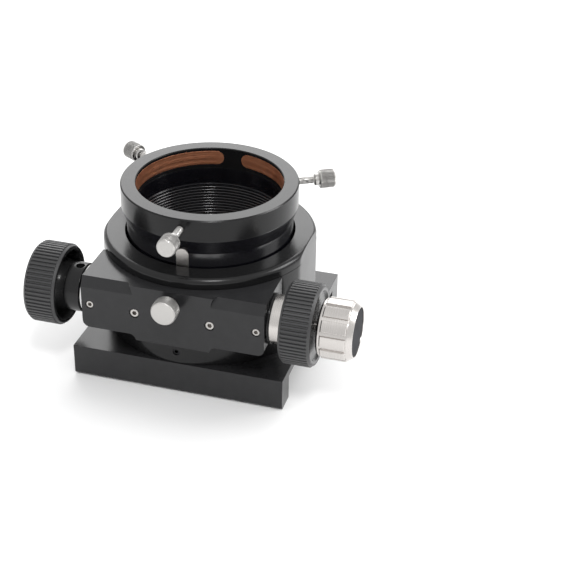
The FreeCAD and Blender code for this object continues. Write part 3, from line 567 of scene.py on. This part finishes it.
FINISHES = {
    "black_milled": lambda name: black_anodised(name, None, 2.6),
    "black_turned": lambda name: black_anodised(name, OPTICAL_TURNING),
    "black_knob": lambda name: black_anodised(name, SHAFT_TURNING),
    "black_head": lambda name: black_anodised(name, OPTICAL_TURNING, 0.9, 0.28),
    "black_plate": lambda name: black_anodised(name, SHAFT_TURNING, 9.0, 0.0),
    "bore_black": bore_black,
    "silver_turned": lambda name: turned_metal(name, finishes().silver, SHAFT_TURNING, 0.2, 0.3,
                                               3600.0),
    # Both nickel finishes paint shade into the grooves of their knurls.
    "nickel": lambda name: brushed_metal(name, finishes().nickel, (3000, 3000, 3000), 0.22, 0.36,
                                         paint_knurl_shade=True),
    "nickel_lock": lambda name: turned_metal(name, finishes().nickel, LOCK_TURNING, 0.26, 0.38,
                                             paint_knurl_shade=True),
    "steel_shaft": lambda name: turned_metal(name, finishes().steel, SHAFT_TURNING, 0.15, 0.25),
    "steel_strip": lambda name: brushed_metal(name, finishes().steel, (250, 2500, 6000)),
    "steel": lambda name: brushed_metal(name, finishes().steel, (2500, 2500, 2500), 0.2, 0.35),
    "oxide": lambda name: brushed_metal(name, finishes().oxide, (3000, 3000, 3000), 0.3, 0.45),
    "copper": drawn_copper,
    "bronze": lambda name: brushed_metal(name, finishes().bronze, (2500, 2500, 2500), 0.35, 0.5),
    "grip": grip_rubber,
    "nylon": plain_nylon,
}


def dress(node, name):
    """Gives a frame node a finish."""
    slots = frame["nodes"][node].data.materials
    if not len(slots):
        slots.append(finish(name))
    for index in range(len(slots)):
        slots[index] = finish(name)


# ---- Pieces -----------------------------------------------------------------

def turned_piece(node, outline, place, body, look, edge=None, angles=180, relief=None, fine=()):
    """A frame node's outline with broken edges, turned about its axis. It stands for that node."""
    profile = rounded(outline, sizes().edge_round if edge is None else edge)
    for low, high, step in fine:
        profile = densified(profile, low, high, step)
    points, faces = lathe(profile, angles, relief)
    return piece(node + "_turned", place(points), faces, body, finish(look), (node,))


def smooth_min(a, b, width):
    """The smaller of two values, rounded where they cross by a parabola as wide as width."""
    t = np.clip(0.5 + 0.5 * (b - a) / width, 0, 1)
    return b + (a - b) * t - width * t * (1 - t)


def make_base():
    """Base plate with its edges broken; its screws and pivot ring keep their shape."""
    eased_copy("base_plate", "base_plate_machined", 0.3 * MM, finish("black_milled"), "base")
    dress("base_ring", "black_turned")
    dress("base_ring_screws", "oxide")


def make_body():
    """Round body with side flats, with its edges broken."""
    eased_copy("focuser_body", "focuser_body_machined", 0.3 * MM, finish("black_turned"), "body")
    dress("rotation_lock_screws", "oxide")
    dress("housing_screws", "oxide")


def make_flange():
    """Top flange: a rounded ring cut back to two side flats.

    Radius is the ring's, or flat / |cos angle| where that is less, so the flats stay parallel.
    """
    flat = span("top_flange", 0)[1]
    outer = span("top_flange", 1)[1]
    low, high = span("top_flange", 2)
    bore = sizes().tube_radius + 0.85 * MM
    turn = np.linspace(0, 0.5 * np.pi, 14)
    rim_round = 3 * MM
    arc = np.stack([outer - rim_round + rim_round * np.cos(turn),
                    high - rim_round + rim_round * np.sin(turn)], 1)
    edge = 0.25 * MM
    foot = [(bore, high - edge), (bore, low), (outer - edge, low), (outer, low + edge)]
    outline = np.vstack([foot, arc, [(bore + edge, high)]])
    crease = math.acos(flat / outer)
    angles = clustered_angles(360, [crease, -crease, np.pi + crease, np.pi - crease], 0.06, 0.004)

    def flats(around, height, radius):
        return smooth_min(radius, flat / np.maximum(np.abs(np.cos(around)), 0.2), 2 * edge)

    points, faces = lathe(outline, angles, flats)
    piece("top_flange_turned", points, faces, "body", finish("black_turned"),
          ("top_flange",))


def make_housing():
    """Drive housing with its edges broken, its bushes and the screws in its front."""
    eased_copy("drive_housing", "drive_housing_machined", 0.35 * MM, finish("black_milled"), "body")
    for node, look in (("bush_left", "bronze"), ("bush_right", "bronze"), ("bush_screws", "steel"),
                       ("tension_screws", "steel"), ("tension_pads", "nylon")):
        dress(node, look)


def slot_relief(around, height, radius):
    """Outer radius cut to the strip slot's flat floor, inside a bar with a round top at the front."""
    gap = 0.05 * MM
    left, right = span("drive_strip", 0)
    bottom, top = span("drive_strip", 2)
    half = 0.5 * (right - left) + gap
    top = top + gap
    floor = -span("drive_strip", 1)[1] - gap
    from_front = wrapped(around + 0.5 * np.pi)
    across = sizes().tube_radius * np.sin(from_front)
    along = height - (top - half)
    outside = np.where(along > 0, np.hypot(across, along), np.abs(across)) - half
    inside = (outside < 0) & (np.abs(from_front) < 1.0) & (height > bottom - gap)
    outer = radius > sizes().tube_radius - 0.5 * MM
    cut = np.minimum(radius, floor / np.maximum(np.cos(from_front), 0.5))
    return np.where(inside & outer, cut, radius)


def make_drawtube():
    """Drawtube with a flared top, baffle grooves down its bore and the strip's slot in front."""
    s = sizes()
    low, high = span("drawtube", 2)
    head = span("drawtube", 0)[1]
    bore = s.clamp_bore
    crest = bore - 0.7 * MM
    width = 0.9 * MM
    top = s.baffle_top - width - np.arange(s.baffle_count) * s.baffle_pitch
    sides = np.full(s.baffle_count, crest)
    groove = np.stack([np.stack([sides, top], 1),
                       np.stack([sides + s.baffle_depth, top - 0.5 * width], 1),
                       np.stack([sides, top - width], 1)], 1).reshape(-1, 2)
    wall = [(s.tube_radius, low), (s.tube_radius, s.cone_bottom), (head, high), (bore, high),
            (bore, s.baffle_top), (crest, s.baffle_top)]
    outline = np.vstack([wall, groove, [(crest, low)]])
    edge, groove_edge = 0.06 * MM, 0.35 * MM
    easing = np.concatenate([np.full(len(wall), edge), np.full(len(groove), groove_edge), [edge]])
    profile = densified(rounded(outline, easing, 3), high - 12 * MM, high - 5 * MM, 0.2 * MM)
    angles = clustered_angles(210, [-0.5 * np.pi], 0.13, 0.003)
    points, faces = lathe(profile, angles, slot_relief)
    piece("drawtube_turned", points, faces, "drawtube", finish("bore_black"),
          ("drawtube",), smooth=30.0)
    eased_copy("drive_strip", "drive_strip_ground", 0.1 * MM, finish("steel_strip"), "drawtube")
    dress("strip_screws", "steel")
    dress("stop_ring", "oxide")


def make_head():
    """Clamping head with its edges broken."""
    eased_copy("clamp_head", "clamp_head_machined", 0.18 * MM, finish("black_head"), "drawtube")


def make_shoes():
    """Three shoes: bars with round ends, bent to the bore.

    A closed section (radius, share of the half height) is carried along an arc; the half height stays
    even on the straight stretch and falls as a half circle at each end.
    """
    s = sizes()
    half_height = 0.5 * s.shoe_height
    half_length = 0.5 * (2 * np.pi / 3 - s.shoe_gap) * s.clamp_bore
    straight = np.linspace(-1, 1, 60)[1:-1] * (half_length - half_height)
    turn = np.linspace(0, 0.5 * np.pi, 16)
    end = half_length - half_height + half_height * np.sin(turn)
    end_high = half_height * np.cos(turn)
    along = np.concatenate([-end[::-1], straight, end])
    high = np.concatenate([end_high[::-1], np.full(len(straight), half_height), end_high])
    outer = span("clamp_shoes", 0)[1]
    corners = [(s.clamp_bore, -half_height), (outer, -half_height), (outer, half_height),
               (s.clamp_bore, half_height)]
    section = rounded(corners, 0.12 * MM, 3)
    share = section[:, 1] / half_height
    for index, axis in enumerate(CLAMP_AXES):
        centre = math.atan2(axis[1], axis[0])
        around = (centre + along / s.clamp_bore)[:, None]
        radius = section[None, :, 0]
        z = CLAMP_Z + high[:, None] * share[None, :]
        grid = np.stack([radius * np.cos(around), radius * np.sin(around), z], 2).reshape(-1, 3)
        faces = grid_faces(len(along), len(section), False, True)
        shoe = piece("clamp_shoe_%d" % (index + 1), grid, faces, "drawtube",
                     finish("copper"))
        if index == 0:
            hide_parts("clamp_shoes")


def knurl(count, pitch, depth, low, high, rim):
    """Relief of a diamond knurl: the lower of two crossed triangular waves, between two heights."""
    def relief(around, height, radius):
        u = around * count / (2 * np.pi)
        v = height / pitch
        first = np.abs(2 * np.mod(u + v, 1) - 1)
        second = np.abs(2 * np.mod(u - v, 1) - 1)
        fade = 0.5 * MM
        ease = smoothstep(low, low + fade, height) * (1 - smoothstep(high - fade, high, height))
        return radius - depth * ease * (radius > rim) * (1 - np.minimum(first, second))
    return relief


def store_groove(obj, place, low, high, rim):
    """Stores how far each point of a knurl lies below its crests: 0 on a crest, 1 at the foot. The
    finish paints shade into the grooves by this value.
    """
    flat = np.empty(3 * len(obj.data.vertices))
    obj.data.vertices.foreach_get("co", flat)
    foot, tip = place(np.array([[0.0, 0.0, 0.0], [0.0, 0.0, 1.0]]))
    away = flat.reshape(-1, 3) - foot
    along = away @ (tip - foot)
    radius = np.sqrt(np.maximum((away ** 2).sum(1) - along ** 2, 0))
    depth = sizes().knurl_depth
    chamfer = 0.75 * MM
    # Mask of the painted groove shade: the knurl's band without its chamfers.
    inside = (along > low + chamfer) & (along < high - chamfer) & (radius > rim - 1.5 * depth)
    groove = obj.data.attributes.new("groove", "FLOAT", "POINT")
    groove.data.foreach_set("value", inside * np.clip((rim - radius) / depth, 0, 1))


def thread(pitch, depth, low, high, rim):
    """Relief of a screw thread: a triangular wave that climbs a pitch a turn, between two heights."""
    def relief(around, height, radius):
        wave = np.abs(2 * np.mod(height / pitch - around / (2 * np.pi), 1) - 1)
        inside = (height > low) & (height < high) & (radius < rim)
        return radius - depth * inside * wave
    return relief


def make_clamp_screws():
    """Three thumbscrews: threaded shank, collar and diamond-knurled head, each turned on its axis."""
    s = sizes()
    start = span("clamp_shoes", 0)[1] + 0.1 * MM
    end = -span("clamp_screw_1", 1)[0]
    left, right = span("clamp_screw_1", 0)
    head_r = 0.5 * (right - left)
    shank_r = 2.0 * MM
    collar_r = 3.2 * MM
    head = end - 8.3 * MM
    collar = end - 11.1 * MM
    neck_r = shank_r - 0.3 * MM
    outline = [(0, start), (shank_r, start), (shank_r, collar - 0.9 * MM),
               (neck_r, collar - 0.6 * MM), (neck_r, collar), (collar_r, collar + 0.4 * MM),
               (collar_r, head - 0.5 * MM),
               (collar_r - 0.5 * MM, head), (head_r - 0.6 * MM, head), (head_r, head + 0.6 * MM),
               (head_r, end - 0.7 * MM), (head_r - 0.7 * MM, end), (0, end)]
    profile = rounded(outline, 0.12 * MM, 3)
    profile = densified(profile, head, end - 0.1 * MM, 0.14 * MM)
    profile = densified(profile, start, collar - 1 * MM, 0.12 * MM)
    knurled = knurl(s.knurl_rows, s.knurl_pitch, s.knurl_depth, head, end, head_r - 0.5 * MM)
    threaded = thread(0.7 * MM, 0.22 * MM, start, collar - 1 * MM, collar_r - 1 * MM)

    def relief(around, height, radius):
        return threaded(around, height, knurled(around, height, radius))

    points, faces = lathe(profile, 8 * s.knurl_rows, relief)
    for index, axis in enumerate(CLAMP_AXES):
        number = index + 1
        place = about_clamp(axis)
        node = "clamp_screw_%d" % number
        screw = piece(node + "_knurled", place(points), faces, "clamp_%d" % number,
                      finish("nickel"), (node,), smooth=50.0)
        # Keeps the knurl's depth for the painted shade in its grooves.
        store_groove(screw, place, head, end, head_r)


def make_lock():
    """Focus lock: a diamond-knurled knob on a shank, whose thread is not drawn."""
    low, high = span("lock_knob", 1)
    face, end = -low, -high
    left, right = span("lock_knob", 0)
    radius = 0.5 * (right - left)
    shank = 2.5 * MM
    boss = shank + 1.2 * MM
    back = face - 7.2 * MM
    boss_end = back - 1.3 * MM
    chamfer = 0.8 * MM
    outline = [(0, face), (radius - chamfer, face), (radius, face - chamfer),
               (radius, back + chamfer), (radius - chamfer, back), (boss, back), (boss, boss_end),
               (shank, boss_end), (shank, end), (0, end)]
    profile = densified(rounded(outline, 0.15 * MM, 3), back, face - 0.1 * MM, 0.14 * MM)
    count = int(sizes().knurl_rows * 1.4)
    relief = knurl(count, sizes().knurl_pitch, sizes().knurl_depth, back, face, radius - 0.6 * MM)
    points, faces = lathe(profile, 8 * count, relief)
    knob = piece("lock_knob_knurled", about_lock(points), faces, "lock",
                 finish("nickel_lock"), ("lock_knob",), smooth=50.0)
    # Keeps the knurl's depth for the painted shade in its grooves.
    store_groove(knob, about_lock, back, face, radius)
    dress("lock_tip", "nylon")


def grip_piece(node, body):
    """Ribbed grip: a band of ribs between two plain lips.

    In each pitch the radius falls by the rib depth along a smooth cubic, and rises again.
    """
    s = sizes()
    low, high = span(node, 0)
    outer = shaft_radius(node)
    inner = outer - 1.65 * MM
    edge = outer - 1.1 * MM
    lip = outer - 0.45 * MM
    width = 1.3 * MM
    band = width + 0.05 * MM
    outline = [(inner, low), (edge, low), (lip, low + width), (outer, low + band),
               (outer, high - band), (lip, high - width), (edge, high), (inner, high)]

    def ribs(around, height, radius):
        across = np.abs(2 * np.mod(around * s.grip_ribs / (2 * np.pi), 1) - 1)
        groove = 1 - smoothstep(0.22, 0.62, across)
        on_band = smoothstep(lip + 0.02 * MM, lip + 0.3 * MM, radius)
        return radius - s.rib_depth * groove * on_band

    turned_piece(node, outline, about_shaft, body, "grip", 0.25 * MM,
                 14 * s.grip_ribs, ribs)


def hole_relief(angle, centre, radius_of_hole, floor):
    """Relief of a round hole down to a floor radius, at an angle and a height."""
    def relief(around, height, radius):
        across = radius * wrapped(around - angle)
        inside = np.hypot(across, height - centre) < radius_of_hole
        return np.where(inside & (radius > floor + 2 * MM), floor, radius)
    return relief


def screw_hole(node):
    """Angle round the shaft, place along it and hole radius of a set screw in a knob."""
    low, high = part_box(node)
    middle = 0.5 * (low + high)
    angle = math.atan2(middle.z - SHAFT_Z, middle.y - SHAFT_Y)
    return angle, middle.x, 0.5 * (high.x - low.x) + 0.02 * MM


def cap_piece(node, body, look, edge):
    """Flat round plate in the end of a knob."""
    low, high = span(node, 0)
    rim = shaft_radius(node)
    turned_piece(node, [(0, low), (rim, low), (rim, high), (0, high)], about_shaft, body,
                 look, edge)


def make_left_knob():
    """Left coarse knob: dished metal core with a hub, its ribbed grip, cap and hub screw."""
    out, hub = span("left_knob_core", 0)
    rim_in = span("left_knob_grip", 0)[1]
    rim = shaft_radius("left_knob_core")
    bore = shaft_radius("drive_shaft")
    hub_r = 12.7 * MM
    dish = rim_in - 4.5 * MM
    flare = 6.8 * MM
    foot = rim - 3.4 * MM
    turn = np.linspace(0, 0.5 * np.pi, 20)
    rise = foot - hub_r + 0.35 * MM
    curve = np.stack([foot - rise * np.cos(turn), dish + flare * (1 - np.sin(turn))], 1)
    seat_r = bore + 5 * MM
    web = out + 0.8 * MM
    seat = out + 3 * MM
    outline = [(bore, hub), (hub_r, hub), (hub_r, dish + flare), *map(tuple, curve),
               (rim - 2.6 * MM, dish), (rim - 1.2 * MM, rim_in), (rim, rim_in), (rim, out),
               (rim - 2 * MM, out), (rim - 3 * MM, web), (seat_r, web), (seat_r, seat), (bore, seat)]
    angle, middle, hole_r = screw_hole("left_hub_screw")
    angles = clustered_angles(180, [angle], 0.21, 0.006)
    near = 2.6 * MM
    turned_piece("left_knob_core", outline, about_shaft, "coarse_drive",
                 "black_knob", 0.25 * MM, angles, hole_relief(angle, middle, hole_r, 7 * MM),
                 ((middle - near, middle + near, 0.16 * MM),))
    grip_piece("left_knob_grip", "coarse_drive")
    cap_piece("left_knob_cap", "coarse_drive", "black_knob", 0.25 * MM)
    dress("left_hub_screw", "oxide")
    dress("drive_shaft", "steel_shaft")


def make_coarse_knob():
    """Right coarse knob: hollow core and ribbed grip."""
    low, high = span("coarse_knob_core", 0)
    rim = shaft_radius("coarse_knob_core")
    hollow = 10 * MM
    cup = 9.4 * MM
    hole = 4 * MM
    edge = rim - 1.6 * MM
    web = high - 1 * MM
    web_back = high - 1.6 * MM
    step = high - 4 * MM
    outline = [(hollow, low + 1.6 * MM), (edge, low), (rim, low), (rim, high), (edge, high),
               (rim - 2.4 * MM, web), (hole, web), (hole, web_back), (cup, web_back), (cup, step),
               (hollow, step)]
    turned_piece("coarse_knob_core", outline, about_shaft, "coarse_drive",
                 "black_knob", 0.2 * MM)
    grip_piece("coarse_knob_grip", "coarse_drive")
    for node in ("ball_carrier", "reducer_balls"):
        dress(node, "steel")


def make_fine_knob():
    """Fine knob: raised panels round its side, a dark end plate and a set screw.

    Radius rises by the panel's height inside each rounded rectangle of angle and length.
    """
    s = sizes()
    low, high = span("fine_knob", 0)
    outer = shaft_radius("fine_knob")
    base = outer - s.panel_rise
    plate_r = shaft_radius("fine_knob_cap") + 0.05 * MM
    bore = shaft_radius("sun_shaft")
    recess = high - 1.4 * MM
    outline = [(bore, low), (base - 1 * MM, low), (base, low + 1 * MM), (base, high - 2.6 * MM),
               (plate_r + 0.5 * MM, high), (plate_r, high), (plate_r, recess), (bore, recess)]
    hole_angle, middle, hole_r = screw_hole("fine_knob_screw")
    hole = hole_relief(hole_angle, middle, hole_r, 9 * MM)
    half_turn = np.pi / s.fine_panels
    start = 0.5 * np.pi + s.panel_turn
    mid = 0.5 * (low + 2.2 * MM + high - 3 * MM)
    half_long = 0.5 * (high - low - 5.2 * MM)
    half_wide = half_turn * outer - 0.9 * MM

    def panels(around, height, radius):
        turn = np.mod(around - start, 2 * half_turn) - half_turn
        across = np.abs(turn * outer) - half_wide
        along = np.abs(height - mid) - half_long
        outside = np.hypot(np.maximum(across, 0), np.maximum(along, 0))
        outside = outside + np.minimum(np.maximum(across, along), 0)
        rise = s.panel_rise * (1 - smoothstep(-0.35 * MM, 0.0, outside))
        return hole(around, height, radius + rise * (radius > base - 0.05 * MM))

    joints = start + 2 * half_turn * np.arange(s.fine_panels)
    angles = clustered_angles(160, list(joints) + [hole_angle], 0.09, 0.0065)
    turned_piece("fine_knob", outline, about_shaft, "fine_drive", "silver_turned",
                 0.15 * MM, angles, panels, ((low + 1.2 * MM, high - 2.7 * MM, 0.2 * MM),))
    cap_piece("fine_knob_cap", "fine_drive", "black_plate", 0.15 * MM)
    dress("fine_knob_screw", "oxide")
    dress("sun_shaft", "steel_shaft")


def make_collars():
    """The rings between the housing and the knobs, and the reducer that the right one holds."""
    tunnel = 3.6 * MM
    for node, bore, slot, look in (("thrust_washer", 3.2 * MM, "nylon", "nylon"),
                                   ("housing_ring", tunnel, "black_anodised", "black_knob")):
        low, high = span(node, 0)
        rim = shaft_radius(node)
        ring = [(bore, low), (rim, low), (rim, high), (bore, high)]
        turned_piece(node, ring, about_shaft, "body", look)
    low, high = span("reducer_collar", 0)
    rim = shaft_radius("reducer_collar")
    race = shaft_radius("reducer_race")
    knob = span("coarse_knob_core", 0)[0]
    sleeve = 9.6 * MM
    throat = 6.2 * MM
    shoulder = knob - 0.7 * MM
    seat = knob + 3.4 * MM
    floor = knob + 0.6 * MM
    outline = [(tunnel, low), (rim, low), (rim, shoulder), (sleeve, shoulder), (sleeve, high),
               (race, high), (race, seat), (throat, seat), (throat, floor), (tunnel, floor)]
    turned_piece("reducer_collar", outline, about_shaft, "body", "silver_turned")
    for node in ("reducer_race", "spring_washer"):
        dress(node, "steel")


def make_bearings():
    """Guide bearings behind the drawtube, and their pins."""
    for number in range(1, 5):
        dress("guide_bearing_%d" % number, "steel")
    dress("bearing_pins", "steel")


# ---- Stage ------------------------------------------------------------------

def make_floor():
    """A plain pale floor just under the feet."""
    n = Nodes("floor_paper")
    tone = stage().floor_tone
    cloud = n.noise(n.position, 1.2, 2.0)
    n.link(n.blend(cloud, (tone * 0.995,) * 3, (tone,) * 3), n.shader.inputs["Base Color"])
    n.set(Roughness=0.6)
    half = 6.0
    mesh = bpy.data.meshes.new("floor")
    z = -0.0002
    corners = [(-half, -half, z), (half, -half, z), (half, half, z), (-half, half, z)]
    mesh.from_pydata(corners, [], [(0, 1, 2, 3)])
    mesh.materials.append(n.material)
    floor = bpy.data.objects.new("floor", mesh)
    bpy.context.scene.collection.objects.link(floor)


def softbox(name, place, width, height, power, target=(0.0, 0.0, 0.05)):
    """A rectangular soft light that faces a target."""
    lamp = bpy.data.lights.new(name, "AREA")
    lamp.shape = "RECTANGLE"
    lamp.size = width
    lamp.size_y = height
    lamp.energy = power
    obj = bpy.data.objects.new(name, lamp)
    obj.location = place
    obj.rotation_euler = (Vector(target) - Vector(place)).to_track_quat("-Z", "Y").to_euler()
    bpy.context.scene.collection.objects.link(obj)
    return obj


def make_camera():
    """Camera looking down at the front from the right, with a slight roll."""
    yaw, pitch, roll = (math.radians(a) for a in (-15.39, 30.77, 1.15))
    level_part = math.cos(pitch)
    forward = Vector((math.sin(yaw) * level_part, math.cos(yaw) * level_part, -math.sin(pitch)))
    right = forward.cross(Vector((0, 0, 1))).normalized()
    up = right.cross(forward)
    across = math.cos(roll) * right + math.sin(roll) * up
    upright = -math.sin(roll) * right + math.cos(roll) * up
    data = bpy.data.cameras.new("camera")
    data.lens = stage().lens_mm
    data.sensor_width = 36.0
    camera = bpy.data.objects.new("camera", data)
    matrix = Matrix((across, upright, -forward)).transposed().to_4x4()
    matrix.translation = Vector((0.21217, -0.61237, 0.41511))
    camera.matrix_world = matrix
    bpy.context.scene.collection.objects.link(camera)
    bpy.context.scene.camera = camera


def make_stage():
    """Floor, even light all round, three soft lights and the camera."""
    scene = bpy.context.scene
    world = scene.world or bpy.data.worlds.new("tent")
    scene.world = world
    world.use_nodes = True
    world.node_tree.nodes["Background"].inputs["Color"].default_value = (1, 1, 1, 1)
    world.node_tree.nodes["Background"].inputs["Strength"].default_value = stage().sky
    scene.view_settings.view_transform = "Standard"
    make_floor()
    softbox("back_softbox", (-0.34, 1.05, 0.70), 1.3, 0.7, stage().back_light)
    softbox("side_softbox", (0.75, 0.25, 0.6), 0.4, 0.4, stage().side_light)
    softbox("front_softbox", (0.26, -0.68, 1.06), 0.2, 0.22, stage().front_light)
    make_camera()


# ---- Operators --------------------------------------------------------------

class MakerOperator:
    """What every operator here does: run its maker and say that it finished."""
    bl_options = {"REGISTER", "UNDO"}

    def execute(self, context):
        type(self).maker()
        return {"FINISHED"}


class FOCUSER_OT_base(MakerOperator, bpy.types.Operator):
    """Make the base plate and finish its ring and screws"""
    bl_idname = "focuser.base"
    bl_label = "Base"
    maker = make_base


class FOCUSER_OT_body(MakerOperator, bpy.types.Operator):
    """Make the round body"""
    bl_idname = "focuser.body"
    bl_label = "Body"
    maker = make_body


class FOCUSER_OT_flange(MakerOperator, bpy.types.Operator):
    """Make the top flange"""
    bl_idname = "focuser.flange"
    bl_label = "Top flange"
    maker = make_flange


class FOCUSER_OT_housing(MakerOperator, bpy.types.Operator):
    """Make the drive housing and finish its bushes and screws"""
    bl_idname = "focuser.housing"
    bl_label = "Drive housing"
    maker = make_housing


class FOCUSER_OT_drawtube(MakerOperator, bpy.types.Operator):
    """Make the drawtube and its drive strip"""
    bl_idname = "focuser.drawtube"
    bl_label = "Drawtube"
    maker = make_drawtube


class FOCUSER_OT_head(MakerOperator, bpy.types.Operator):
    """Make the clamping head"""
    bl_idname = "focuser.head"
    bl_label = "Clamping head"
    maker = make_head


class FOCUSER_OT_shoes(MakerOperator, bpy.types.Operator):
    """Make the three clamp shoes"""
    bl_idname = "focuser.shoes"
    bl_label = "Clamp shoes"
    maker = make_shoes


class FOCUSER_OT_clamp_screws(MakerOperator, bpy.types.Operator):
    """Make the three thumbscrews of the head"""
    bl_idname = "focuser.clamp_screws"
    bl_label = "Clamp screws"
    maker = make_clamp_screws


class FOCUSER_OT_lock(MakerOperator, bpy.types.Operator):
    """Make the focus lock's knob"""
    bl_idname = "focuser.lock"
    bl_label = "Focus lock"
    maker = make_lock


class FOCUSER_OT_left_knob(MakerOperator, bpy.types.Operator):
    """Make the left coarse knob"""
    bl_idname = "focuser.left_knob"
    bl_label = "Left knob"
    maker = make_left_knob


class FOCUSER_OT_coarse_knob(MakerOperator, bpy.types.Operator):
    """Make the right coarse knob"""
    bl_idname = "focuser.coarse_knob"
    bl_label = "Right coarse knob"
    maker = make_coarse_knob


class FOCUSER_OT_fine_knob(MakerOperator, bpy.types.Operator):
    """Make the fine knob"""
    bl_idname = "focuser.fine_knob"
    bl_label = "Fine knob"
    maker = make_fine_knob


class FOCUSER_OT_collars(MakerOperator, bpy.types.Operator):
    """Make the rings beside the housing and the reducer's collar"""
    bl_idname = "focuser.collars"
    bl_label = "Collars"
    maker = make_collars


class FOCUSER_OT_bearings(MakerOperator, bpy.types.Operator):
    """Finish the guide bearings and their pins"""
    bl_idname = "focuser.bearings"
    bl_label = "Guide bearings"
    maker = make_bearings


class FOCUSER_OT_stage(MakerOperator, bpy.types.Operator):
    """Make the floor, the lights and the camera"""
    bl_idname = "focuser.stage"
    bl_label = "Stage"
    maker = make_stage


OPERATORS = (FOCUSER_OT_base, FOCUSER_OT_body, FOCUSER_OT_flange, FOCUSER_OT_housing,
             FOCUSER_OT_drawtube, FOCUSER_OT_head, FOCUSER_OT_shoes, FOCUSER_OT_clamp_screws,
             FOCUSER_OT_lock,
             FOCUSER_OT_left_knob, FOCUSER_OT_coarse_knob, FOCUSER_OT_fine_knob, FOCUSER_OT_collars,
             FOCUSER_OT_bearings, FOCUSER_OT_stage)
SETTINGS = (("focuser_sizes", FocuserSizes), ("focuser_finishes", FocuserFinishes),
            ("focuser_stage", FocuserStage))


class FOCUSER_PT_panel(bpy.types.Panel):
    """Lists the settings and makers of the focuser"""
    bl_idname = "FOCUSER_PT_panel"
    bl_label = "Focuser"
    bl_space_type = "VIEW_3D"
    bl_region_type = "UI"
    bl_category = "Focuser"

    def draw(self, context):
        for name, group in SETTINGS:
            column = self.layout.column(align=True)
            for setting in group.__annotations__:
                column.prop(getattr(context.scene, name), setting)
        for operator in OPERATORS:
            self.layout.operator(operator.bl_idname)


def register():
    for name, group in SETTINGS:
        bpy.utils.register_class(group)
        setattr(bpy.types.Scene, name, bpy.props.PointerProperty(type=group))
    for cls in OPERATORS + (FOCUSER_PT_panel,):
        bpy.utils.register_class(cls)


def unregister():
    for cls in (FOCUSER_PT_panel,) + OPERATORS[::-1]:
        bpy.utils.unregister_class(cls)
    for name, group in SETTINGS[::-1]:
        delattr(bpy.types.Scene, name)
        bpy.utils.unregister_class(group)


def main():
    """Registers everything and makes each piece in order."""
    register()
    for operator in OPERATORS:
        getattr(bpy.ops.focuser, operator.bl_idname.split(".")[1])()
    bpy.context.view_layer.update()


if __name__ == "__main__":
    main()
